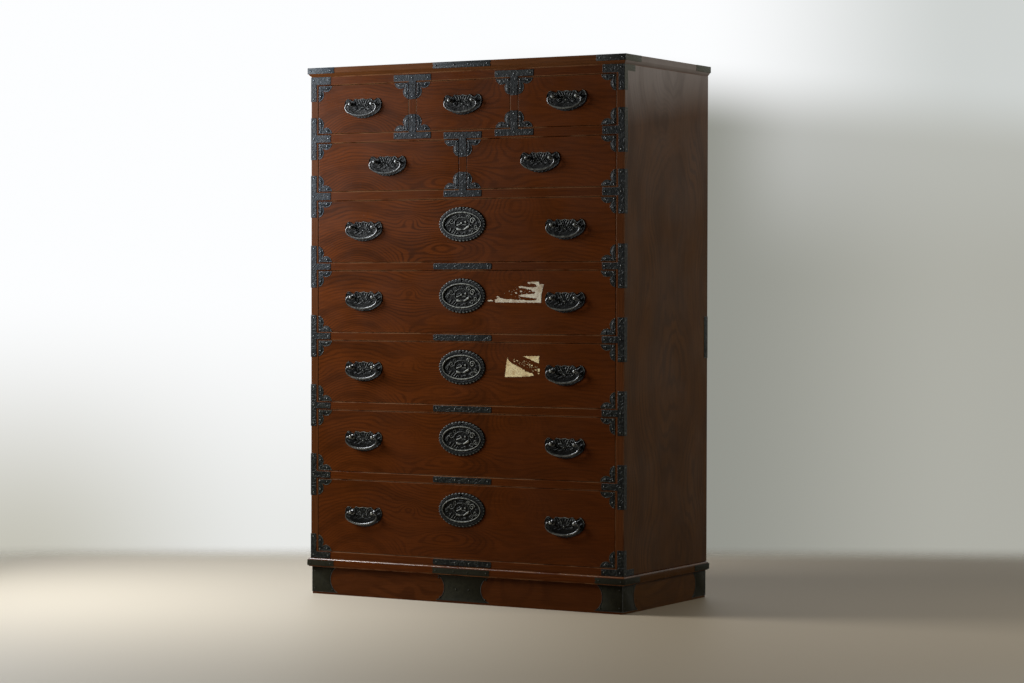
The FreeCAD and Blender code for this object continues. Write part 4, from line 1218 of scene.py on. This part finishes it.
def make_irons(iron):
    """Every finish of the fittings."""
    iron_material("Sheet iron", iron.plate, chasing=0.08, soot=0.12, bright=0.26, ior=1.22, painted_sheen=(1.2, 1.48))
    iron_material("Plain iron", iron.foot, rough=0.42, bump=0.2, soot=0.1, bright=0.2, ior=1.14, stained=0.3,
                  patina_and_painted_light=FOOT_PATINA)
    iron_material("Nail iron", iron.plate, rough=0.3, bump=0.1, soot=0.2, bright=1.0, ior=1.4)
    for name, foot_ridge_share in (("Relief iron", 1.0), ("Lock iron", 0.62)):
        iron_material(name, iron.plate, bump=0.3, soot=0.45, bright=1.0, ior=1.24, patina_and_painted_light=RELIEF_PAINTED_LIGHT,
                      foot_ridge_share=foot_ridge_share)
    iron_material("Bail iron", shade(iron.bail, 1.12), rough=0.26, bump=0.12, soot=0.2, bright=0.6, ior=1.6,
                  patina_and_painted_light=RELIEF_PAINTED_LIGHT)


# Operators: one for each piece or group of like pieces

class CHEST_OT_finishes(bpy.types.Operator):
    """Make the node groups and materials of the wood, iron and paper"""

    bl_idname = "chest.finishes"
    bl_label = "Finishes"

    def execute(self, context):
        for make_group in (make_hill_group, make_flame_group, make_arch_group, make_straight_group,
                           make_fibre_group, make_edge_group, make_chased_group):
            make_group()
        make_woods(context.scene.chest_wood)
        make_irons(context.scene.chest_iron)
        for _, _, _, finish, clean, foxed in PAPERS:
            make_paper(finish, clean, foxed)
        make_keyhole_shade()
        return {"FINISHED"}


class CHEST_OT_case(bpy.types.Operator):
    """Build the sides, back, rails, shelves and dividers"""

    bl_idname = "chest.case"
    bl_label = "Case"

    def execute(self, context):
        radius = context.scene.chest_wood.edge_round
        for side in ("left", "right"):
            self.add_side(side, radius)
        add_piece("back_board", [board(*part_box("back_panel"), THIN_ROUND, along=2, across=0)], "Inner wood",
                  "carcass", "back_panel")
        self.add_rails(radius)
        return {"FINISHED"}

    def add_side(self, side, radius):
        """A side board with a facing on its front edge and a rebate for the back."""
        node = f"side_panel_{side}"
        low, high = (np.array(corner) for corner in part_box(node))
        facing = board(low, (high[0], low[1] + STILE_FACING, high[2]), radius, along=2, across=0)
        add_piece(f"stile_facing_{side}", [facing], f"Stile wood {side}", "carcass", node)
        outer, inner = (low[0], high[0]) if side == "left" else (high[0], low[0])
        seam = inner - math.copysign(BACK_REBATE, inner - outer)
        spans = ((outer, seam, high[1]), (seam, inner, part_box("back_panel")[0].y))
        boards = [board((min(x0, x1), low[1] + STILE_FACING, low[2]), (max(x0, x1), rear, high[2]), radius,
                        along=2, across=1) for x0, x1, rear in spans]
        add_piece(f"side_wood_{side}", boards, "Side wood", "carcass", node)

    def add_rails(self, radius):
        """Rails between the rows, shelves behind them, dividers in the two upper rows."""
        low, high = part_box("front_rails")
        edges = [low.z, *(level for span in ROW_SPANS for level in span), high.z]
        rails = [board((low.x, FRONT, foot), (high.x, high.y, head), radius)
                 for foot, head in zip(edges[::2], edges[1::2])]
        add_piece("rail_woods", rails, "Rail wood", "carcass", "front_rails")
        low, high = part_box("shelf_boards")
        shelves = [board((low.x, low.y, floor - SHELF_WALL), (high.x, high.y, floor), THIN_ROUND, across=1)
                   for floor, _ in ROW_SPANS]
        add_piece("shelf_woods", shelves, "Inner wood", "carcass", "shelf_boards")
        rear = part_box("drawer_dividers")[1].y
        dividers = [board((x, FRONT, floor), (x + DIVIDER_WALL, rear, ceiling), radius, along=2, across=0)
                    for x, floor, ceiling in divider_posts()]
        add_piece("divider_woods", dividers, "Rail wood", "carcass", "drawer_dividers")


class CHEST_OT_cap_and_plinth(bpy.types.Operator):
    """Build the cap board, the moulded ledge and the skirt"""

    bl_idname = "chest.cap_and_plinth"
    bl_label = "Cap and plinth"

    def execute(self, context):
        wood = context.scene.chest_wood
        add_piece("cap_wood", [self.cap_shape(CAP_LOW, CAP_HIGH)], "Cap wood", "carcass",
                  "top_board", crease=25)
        ledge = board(LEDGE_LOW, LEDGE_HIGH, wood.ledge_round)
        add_piece("ledge_wood", [ledge], "Ledge wood", "carcass", "plinth_ledge")
        (x0, y0, z0), (x1, y1, z1) = SKIRT_LOW, SKIRT_HIGH
        radius = wood.edge_round
        front, rear = y0 + SKIRT_WALL, y1 - SKIRT_WALL
        skirt = [board((x0, y0, z0), (x1, front, z1), radius), board((x0, rear, z0), (x1, y1, z1), radius)]
        skirt += [board((x, front, z0), (x + SKIRT_WALL, rear, z1), radius, along=1)
                  for x in (x0, x1 - SKIRT_WALL)]
        add_piece("skirt_woods", skirt, "Plinth wood", "carcass", "plinth_skirt")
        return {"FINISHED"}

    def cap_shape(self, low, high):
        """A board whose lower part slopes in to the case on the front and the sides."""
        shape = board(low, high, CAP_ROUND)
        points = shape.points
        draw = CAP_BEVEL * np.clip((low.z + CAP_BEVEL + CAP_ROUND - points[:, 2]) / CAP_BEVEL, 0, 1)
        by_side = np.abs(points[:, 0]) > high.x - 3 * CAP_BEVEL
        points[:, 0] -= np.sign(points[:, 0]) * draw * by_side
        points[:, 1] += draw * (points[:, 1] < low.y + 3 * CAP_BEVEL)
        return shape


class CHEST_OT_drawers(bpy.types.Operator):
    """Build every drawer's front board and its box of four boards"""

    bl_idname = "chest.drawers"
    bl_label = "Drawers"

    def execute(self, context):
        rows = [row.split("_")[1] for row in ROWS]
        for drawer in DRAWERS:
            leaf = rows.index(drawer.split("_")[1])
            face = board(*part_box(f"{drawer}_front"), FRONT_BEVEL)
            add_piece(f"{drawer}_face", [face], f"Front leaf {leaf}", drawer, f"{drawer}_front")
            add_piece(f"{drawer}_tray", self.tray_boards(*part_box(f"{drawer}_box")), "Inner wood", drawer,
                      f"{drawer}_box")
        return {"FINISHED"}

    def tray_boards(self, low, high):
        """Two sides, a back and a floor let in between them."""
        (x0, y0, z0), (x1, y1, z1) = low, high
        left, right, rear = x0 + BOX_WALL, x1 - BOX_WALL, y1 - BOX_WALL
        return [board((x0, y0, z0), (left, y1, z1), BOX_ROUND, along=1),
                board((right, y0, z0), (x1, y1, z1), BOX_ROUND, along=1),
                board((left, rear, z0), (right, y1, z1), BOX_ROUND),
                board((left, y0, z0), (right, rear, z0 + BOX_FLOOR), BOX_ROUND, across=1)]


class Irons:
    """Plates and the heads of the nails that hold them."""

    def __init__(self, plates=(), nails=()):
        self.plates = list(plates)
        self.nails = list(nails)

    def lay(self, outline, spots, origin, right=ACROSS, rim=PLAIN_RIM):
        """One plate on a face of the chest, nailed at its spots."""
        self.plates.append(sheet_plate(outline, origin, right, rim))
        self.nails += [nail(spot, origin, right) for spot in spots]

    def mirrored(self):
        """The same irons on the other side of the chest's middle plane."""
        return Irons([plate.mirrored() for plate in self.plates], [head.mirrored() for head in self.nails])

    def add(self, plates_name, nails_name, node, body="carcass", finishes=("Sheet iron", "Nail iron")):
        """Make one piece of the plates and one of the nails, on the body that carries them."""
        for name, shapes, finish in zip((plates_name, nails_name), (self.plates, self.nails), finishes):
            add_piece(name, shapes, finish, body, node)


class CHEST_OT_frame_irons(bpy.types.Operator):
    """Lay the tees and elbows on the stiles and dividers and the straps on the rails"""

    bl_idname = "chest.frame_irons"
    bl_label = "Frame irons"

    def execute(self, context):
        right = self.stile_irons()
        right.add("stile_plates_right", "stile_nails_right", "frame_irons_right")
        right.mirrored().add("stile_plates_left", "stile_nails_left", "frame_irons_left")
        self.divider_tees().add("divider_plates", "divider_nails", "divider_irons")
        self.rail_straps().add("rail_straps", "rail_strap_nails", "rail_irons")
        return {"FINISHED"}

    def wrap(self, irons, level, low, high, leaf=0):
        """The strip on the side that goes on from a stile plate; leaf is 1 at its foot or -1 at its head."""
        out, tall = LEAF
        outline = rectangle(0, low, SIDE_WRAP, high)
        spots = [(SIDE_WRAP / 2, low + 7), (SIDE_WRAP / 2, high - 7)]
        if leaf > 0:
            outline[1:2] = [(out, low), (out, low + tall), (SIDE_WRAP, low + tall)]
            spots.append((out - 8, low + tall / 2))
        elif leaf < 0:
            outline[2:3] = [(SIDE_WRAP, high - tall), (out, high - tall), (out, high)]
            spots.append((out - 8, high - tall / 2))
        irons.lay(outline, spots, (HALF_WIDTH, FRONT, level), SIDEWAYS)

    def stile_irons(self):
        """A tee on each rail, an elbow at either end and the strap at the side's rear edge."""
        irons = Irons()
        for foot, head in RAILS:
            level = (foot + head) / 2
            spots = ((NAIL_ROW, TEE_HALF - 8), (NAIL_ROW, 0), (NAIL_ROW, 8 - TEE_HALF), (8 - TEE_ARM, 0))
            irons.lay(tee_outline((head - foot) / MM), spots, (HALF_WIDTH, FRONT, level))
            self.wrap(irons, level, -TEE_HALF, TEE_HALF)
        for level, rail_edge, sense in ((CASE_LOW.z, ROW_SPANS[0][0], 1),
                                        (CASE_HIGH.z, ROW_SPANS[-1][1], -1)):
            spots = flipped(((NAIL_ROW, 9), (NAIL_ROW, ELBOW_HEIGHT - 8), (8 - TEE_ARM, 9)), 1, sense)
            outline = flipped(elbow_outline(abs(rail_edge - level) / MM), 1, sense)
            irons.lay(outline, spots, (HALF_WIDTH, FRONT, level))
            self.wrap(irons, level, *sorted((0, sense * ELBOW_HEIGHT)), leaf=sense)
        width, height = REAR_STRAP
        spots = [(-width / 2, z) for z in (-height / 2 + 8, 0, height / 2 - 8)]
        irons.lay(rectangle(-width, -height / 2, 0, height / 2), spots, (HALF_WIDTH, REAR, sum(RAILS[2]) / 2),
                  SIDEWAYS, PLATE_RIM)
        return irons

    def divider_tees(self):
        """A tee over and under each divider post."""
        irons = Irons()
        low, high = IRON_MARGIN, DIVIDER_BAR
        outline = [(-DIVIDER_ARM, low), (-STEM_HALF, low), (-STEM_HALF, -DIVIDER_STEM),
                   (STEM_HALF, -DIVIDER_STEM), (STEM_HALF, low), (DIVIDER_ARM, low), (DIVIDER_ARM, high),
                   (-DIVIDER_ARM, high)]
        middle = (low + high) / 2
        spots = ((9 - DIVIDER_ARM, middle), (0, middle), (DIVIDER_ARM - 9, middle), (0, 8 - DIVIDER_STEM))
        for x, floor, ceiling in divider_posts():
            for level, sense in ((ceiling, 1), (floor, -1)):
                irons.lay(flipped(outline, 1, sense), flipped(spots, 1, sense),
                          (x + DIVIDER_WALL / 2, FRONT, level))
        return irons

    def rail_straps(self):
        """Clipped straps on the base rail and on the rails between the wide rows."""
        irons = Irons()
        for foot, head in [(CASE_LOW.z, ROW_SPANS[0][0])] + RAILS[:4]:
            irons.lay(clipped_bar(*RAIL_STRAP), [(x, 0) for x in (-82, -22.5, 22.5, 82)],
                      (0, FRONT, (foot + head) / 2))
        return irons


class CHEST_OT_edge_irons(bpy.types.Operator):
    """Lay the forked irons on the cap and the ledge and the waisted plates on the skirt"""

    bl_idname = "chest.edge_irons"
    bl_label = "Cap and plinth irons"

    def execute(self, context):
        cap = self.forked_irons(CAP_LOW, CAP_HIGH, CAP_HIGH.z - CAP_STRAP[1] * MM, CAP_LEG, CAP_STRAP)
        cap.add("cap_plates", "cap_nails", "cap_irons")
        ledge_foot = (LEDGE_LOW.z + LEDGE_HIGH.z) / 2 - (LEDGE_STRAP[1] / 2 + 1) * MM
        ledge = self.forked_irons(LEDGE_LOW, LEDGE_HIGH, ledge_foot, LEDGE_LEG, LEDGE_STRAP)
        skirt = self.skirt_irons()
        plinth = Irons(ledge.plates + skirt.plates, ledge.nails + skirt.nails)
        plinth.add("plinth_plates", "plinth_nails", "plinth_irons", finishes=("Plain iron", "Plain iron"))
        return {"FINISHED"}

    def around_corners(self, half, front, rear, base, outline, spots, rim):
        """A leg each way from the two right-hand corners, and the mirror image of all four."""
        irons = Irons()
        for y, right, way in ((front, ACROSS, -1), (front, SIDEWAYS, 1), (rear, SIDEWAYS, -1),
                              (rear, (-1, 0, 0), 1)):
            start = SHEET if right[0] else 0
            leg = [(x if x > 0 else -start, z) for x, z in outline]
            irons.lay(flipped(leg, way), flipped(spots, way), (half, y, base), right, rim)
        other = irons.mirrored()
        return Irons(irons.plates + other.plates, irons.nails + other.nails)

    def forked_irons(self, low, high, foot, leg, strap):
        """Corner irons with forked ends and a strap forked at both ends, in the middle of the front."""
        width, height = strap
        outline = [(0, 0)] + forked_end(leg, height) + [(0, height)]
        irons = self.around_corners(high.x, low.y, REAR, foot, outline,
                                    ((10, height / 2), (leg - 13, height / 2)), SLIM_RIM)
        spots = [(side * x, height / 2) for side in (-1, 1) for x in (width / 2 - 11, width / 8.3)]
        irons.lay(with_mirror_image(forked_end(width / 2, height)), spots, (0, low.y, foot), rim=SLIM_RIM)
        return irons

    def skirt_irons(self):
        """Waisted corner plates and a waisted plate in the middle of the front."""
        high = (SKIRT_HIGH.z - SKIRT_LOW.z) / MM
        outline = [(0, high)] + waisted_edge(*SKIRT_LEG, high) + [(0, SKIRT_LIFT)]
        spots = ((9, high - 12), (9, SKIRT_LIFT + 10), (64, high - 9), (68, SKIRT_LIFT + 8))
        irons = self.around_corners(SKIRT_HIGH.x, SKIRT_LOW.y, SKIRT_HIGH.y, SKIRT_LOW.z, outline, spots,
                                    PLATE_RIM)
        spots = [(side * x, z) for side in (-1, 1)
                 for x, z in ((76, high - 9), (72, SKIRT_LIFT + 8), (20, high / 2))]
        irons.lay(with_mirror_image(waisted_edge(*SKIRT_PLATE, high)), spots, (0, SKIRT_LOW.y, SKIRT_LOW.z),
                  rim=PLATE_RIM)
        return irons


class CHEST_OT_drawer_irons(bpy.types.Operator):
    """Lay the lobed corners and the bails' backplates with their posts on the drawers"""

    bl_idname = "chest.drawer_irons"
    bl_label = "Drawer irons"

    def execute(self, context):
        outline = grip_outline()
        lobes = lobed_outline()
        for drawer in DRAWERS:
            node = f"{drawer}_irons"
            low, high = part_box(f"{drawer}_front")
            corners = Irons()
            for way_x, x in ((1, low.x + FRONT_BEVEL), (-1, high.x - FRONT_BEVEL)):
                for way_z, z in ((1, low.z + FRONT_BEVEL), (-1, high.z - FRONT_BEVEL)):
                    corners.lay(flipped(lobes, way_x, way_z), flipped(CORNER_NAILS, way_x, way_z),
                                (x, FRONT, z), rim=PLATE_RIM)
            corners.add(f"{drawer}_corners", f"{drawer}_nails", node, drawer)
            places = [(joint["pos_m"][0], FRONT, joint["pos_m"][2]) for joint in frame["joints"]
                      if joint["parent"] == drawer and joint["type"] == "hinge"]
            backs = [relief_plate(outline, GRIP_EYE, 30, grip_height, place) for place in places]
            add_piece(f"{drawer}_backplates", backs, "Relief iron", drawer, node)
            posts = [post_shape((side * POST_OFFSET, 0), place) for place in places for side in (-1, 1)]
            add_piece(f"{drawer}_posts", posts, "Bail iron", drawer, node)
        return {"FINISHED"}


class CHEST_OT_lock_plates(bpy.types.Operator):
    """Lay the oval lock plates with their keyholes on the wide drawers"""

    bl_idname = "chest.lock_plates"
    bl_label = "Lock plates"

    def execute(self, context):
        outline = lock_outline()
        for drawer in WIDE_ROWS:
            place = (0, FRONT, row_span(drawer)[1] - LOCK_BELOW_RAIL * MM)
            hole = spot_on_plane((0, KEYHOLE_LIFT), place)
            for name, shape, finish in (
                    ("lock", relief_plate(outline, (0, BOSS_LIFT), 58, lock_height, place), "Lock iron"),
                    ("keyhole_collar", revolved(COLLAR_PROFILE, hole, OUTWARD, 24), "Relief iron"),
                    # The keyhole itself is a near-black disc: painted shade of its hole.
                    ("keyhole", revolved(KEYHOLE_SHADE_DISC, hole, OUTWARD, 24), "Keyhole painted shade")):
                add_piece(f"{drawer}_{name}", [shape], finish, drawer, f"{drawer}_irons")
        return {"FINISHED"}


class CHEST_OT_bails(bpy.types.Operator):
    """Hang the bails on their pins"""

    bl_idname = "chest.bails"
    bl_label = "Bails"

    def execute(self, context):
        for bail, pivot in PIVOTS.items():
            add_piece(f"{bail}_bar", [bail_shape(pivot)], "Bail iron", bail, bail)
        return {"FINISHED"}


class CHEST_OT_paper(bpy.types.Operator):
    """Stick the torn scraps of old paper on two drawers"""

    bl_idname = "chest.paper"
    bl_label = "Paper scraps"

    def execute(self, context):
        for drawer, scraps, flecks, finish, _, _ in PAPERS:
            random = np.random.default_rng(len(scraps[0]))
            shapes = [self.scrap(outline, random, 0.42) for outline in scraps]
            shapes += [self.scrap(outline, random, 0.1) for outline in self.fleck_outlines(flecks, random)]
            add_piece(f"{drawer}_paper", shapes, finish, drawer, crease=60)
        return {"FINISHED"}

    def fleck_outlines(self, flecks, random):
        """Little five-cornered bits, scattered along a line and longer than they are high."""
        x0, z0, x1, z1, stray, count = flecks
        share_along = random.random(count)
        middles = np.column_stack([x0 + (x1 - x0) * share_along, z0 + (z1 - z0) * share_along])
        middles += random.normal(0, stray / 2, (count, 2))
        turn = 2 * math.pi * (np.arange(5) + 0.5 * random.random((count, 5))) / 5
        size = 0.35 + 0.9 * random.random((count, 1)) ** 2
        return middles[:, None] + np.stack([1.5 * size * np.cos(turn), 0.75 * size * np.sin(turn)], axis=2)

    def scrap(self, outline, random, shake):
        """A thin sheet whose edges are torn: each run is cut up and its points are shaken a little."""
        corners = np.array(outline, float)
        after = np.roll(corners, -1, axis=0)
        runs = np.maximum((np.linalg.norm(after - corners, axis=1) / 2.2).astype(int), 1)
        torn = np.concatenate([here + (there - here) * np.arange(count)[:, None] / count
                               for here, there, count in zip(corners, after, runs)])
        torn += random.normal(0, shake, torn.shape)
        torn = turned_outline(torn)
        count = len(torn)
        lift = np.concatenate([np.full(count, 0.02), 0.35 + 0.2 * random.random(count)])
        worn = np.concatenate([np.ones(count), random.random(count)])
        return Shape(on_plane(np.tile(torn, (2, 1)), lift, (0, FRONT, 0)), closed_rings(2, count), worn=worn)


class CHEST_OT_stage(bpy.types.Operator):
    """Set the floor, the lamps, the background and the camera"""

    bl_idname = "chest.stage"
    bl_label = "Stage"

    def execute(self, context):
        scene = context.scene
        self.add_floor(scene, scene.chest_stage)
        self.add_lamps(scene, scene.chest_stage)
        self.set_world(scene, scene.chest_stage)
        self.add_camera(scene)
        scene.view_settings.view_transform = "Standard"
        return {"FINISHED"}

    def add_floor(self, scene, stage):
        """A pale round floor, with painted shade darker away from the window, that fades out into the
        background, sooner towards the wall behind.
        """
        angle = np.linspace(0, 2 * math.pi, 96, endpoint=False)
        rim = 4.0 * np.column_stack([np.cos(angle), np.sin(angle), np.zeros(96)])
        mesh = bpy.data.meshes.new("floor")
        mesh.from_pydata(rim.tolist(), [], [list(range(96))])
        floor = bpy.data.objects.new("floor", mesh)
        scene.collection.objects.link(floor)
        tree, shader = new_material("Pale floor")
        point = object_point(tree)
        to_lamp = point.dot(TO_WINDOW)
        to_wall = point.dot((-0.5, 0.866, 0))
        shown = to_wall.ease(0.9, 1.5, 1.0, 0.0) * to_lamp.ease(1.45, 1.95, 1.0, 0.0)
        # Painted shade: the floor darkens away from the window.
        feed(shader, {"Base Color": blend(to_lamp.ease(-0.7, 0.6), stage.painted_shade_floor, stage.floor),
                      "Alpha": reckon("LENGTH", point).ease(1.6, 3.4, 1.0, 0.0) * shown, "Roughness": 0.6})
        mesh.materials.append(bpy.data.materials["Pale floor"])

    def add_lamps(self, scene, stage):
        """A large window on the left and a weak fill on the right."""
        lamps = (("window", (-1.65, -0.95, 1.5), (0.0, -0.24, 1.2), 1.0, stage.key_power, (0.94, 0.97, 1.0)),
                 ("fill", (2.7, 0.3, 1.9), (0.5, 0.0, 0.7), 1.2, stage.fill_power, (1.0, 0.98, 0.91)))
        for name, place, target, size, power, tint in lamps:
            lamp = bpy.data.lights.new(name, "AREA")
            lamp.size = size
            lamp.energy = power
            lamp.color = tint
            item = bpy.data.objects.new(name, lamp)
            scene.collection.objects.link(item)
            item.visible_camera = False
            way = np.array(target) - np.array(place)
            item.location = place
            item.rotation_euler = (math.pi / 2 - math.asin(-way[2] / np.linalg.norm(way)), 0,
                                   math.atan2(-way[0], way[1]))

    def set_world(self, scene, stage):
        """Bright on the window's side, grey on the other, dim behind the camera, and floor below.

        It lights the chest as a weak, even white; the camera and mirroring surfaces see its own tints.
        """
        world = bpy.data.worlds.new("studio")
        world.use_nodes = True
        scene.world = world
        tree = world.node_tree
        way = Node(tree, "ShaderNodeTexCoord")["Generated"]
        high = way.part("Z")
        to_left = way.dot(TO_WINDOW)
        # Painted light and shade on the backdrop: the chest's shadow just right of it, a slanting shadow edge
        # across its top, greyer wall away from the window and darker wall at its foot.
        far = to_left.ease(-0.056, -0.16)
        side = blend(far, stage.painted_wall_shadow, stage.far_side)
        top = blend(far, stage.bright_side, stage.far_top)
        side = blend(high.ease(0.0, 0.06) * to_left.ease(-0.062, -0.1, 0.0, 0.28), side, top)
        side = blend((high - to_left * 0.09).ease(0.064, 0.091), side, top)
        low = blend(to_left.ease(0.09, 0.19), stage.low_left, stage.low_far_left)
        left = blend(high.ease(0.0, -0.1), stage.bright_side, low)
        wall = blend(to_left.ease(-0.05, 0.03), side, left)
        tint = blend(high.ease(-0.094, -0.103), wall, blend(1.0, wall, stage.below, "MULTIPLY"))
        path = Node(tree, "ShaderNodeLightPath")
        camera = path["Is Camera Ray"]
        forward = way.dot((-0.2, -0.95, 0.25)).ease(0.0, 0.3) * (1.0 - camera)
        tint = blend(forward, tint, stage.behind)
        seen = reckon("ADD", camera + path["Is Glossy Ray"], path["Is Transmission Ray"], use_clamp=True)
        feed(tree.nodes["Background"], {"Color": blend(seen, (stage.ambient,) * 3, tint)})

    def add_camera(self, scene):
        """The photograph's camera: back is the way from the target to the lens."""
        yaw, pitch, roll = (math.radians(angle) for angle in (CAMERA_YAW, CAMERA_PITCH, CAMERA_ROLL))
        back = np.array([math.sin(yaw) * math.cos(pitch), -math.cos(yaw) * math.cos(pitch), math.sin(pitch)])
        right = np.array([math.cos(yaw), math.sin(yaw), 0])
        up = np.cross(back, right)
        camera = bpy.data.cameras.new("photo_camera")
        camera.sensor_width = 36
        camera.lens = CAMERA_FOCUS_PX / PHOTO_WIDTH_PX * camera.sensor_width
        camera.clip_end = 100
        item = bpy.data.objects.new("photo_camera", camera)
        item.location = (np.array(CAMERA_TARGET) + back * CAMERA_DISTANCE + right * CAMERA_OFFSET[0]
                         + up * CAMERA_OFFSET[1])
        item.rotation_euler = (math.pi / 2 - pitch, -roll, yaw)
        scene.collection.objects.link(item)
        scene.camera = item


class CHEST_PT_panel(bpy.types.Panel):
    """Lists the steps that build the chest's looks"""

    bl_idname = "CHEST_PT_panel"
    bl_label = "Clothing chest"
    bl_space_type = "VIEW_3D"
    bl_region_type = "UI"
    bl_category = "Chest"

    def draw(self, context):
        for operator in OPERATORS:
            self.layout.operator(operator.bl_idname)
        for group in (context.scene.chest_wood, context.scene.chest_iron, context.scene.chest_stage):
            column = self.layout.column()
            for name in group.__annotations__:
                column.prop(group, name)


GROUPS = {"chest_wood": ChestWood, "chest_iron": ChestIron, "chest_stage": ChestStage}
OPERATORS = (CHEST_OT_finishes, CHEST_OT_case, CHEST_OT_cap_and_plinth, CHEST_OT_drawers,
             CHEST_OT_frame_irons, CHEST_OT_edge_irons, CHEST_OT_drawer_irons, CHEST_OT_lock_plates,
             CHEST_OT_bails, CHEST_OT_paper, CHEST_OT_stage)


def register():
    """Make the settings, the operators and the panel known to Blender."""
    for kind in (*GROUPS.values(), *OPERATORS, CHEST_PT_panel):
        bpy.utils.register_class(kind)
    for name, group in GROUPS.items():
        setattr(bpy.types.Scene, name, bpy.props.PointerProperty(type=group))


def unregister():
    """Take the settings, the operators and the panel out again."""
    for name in GROUPS:
        delattr(bpy.types.Scene, name)
    for kind in reversed((*GROUPS.values(), *OPERATORS, CHEST_PT_panel)):
        bpy.utils.unregister_class(kind)


def main():
    """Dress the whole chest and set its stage."""
    register()
    for operator in OPERATORS:
        group, name = operator.bl_idname.split(".")
        getattr(getattr(bpy.ops, group), name)()


if __name__ == "__main__":
    main()
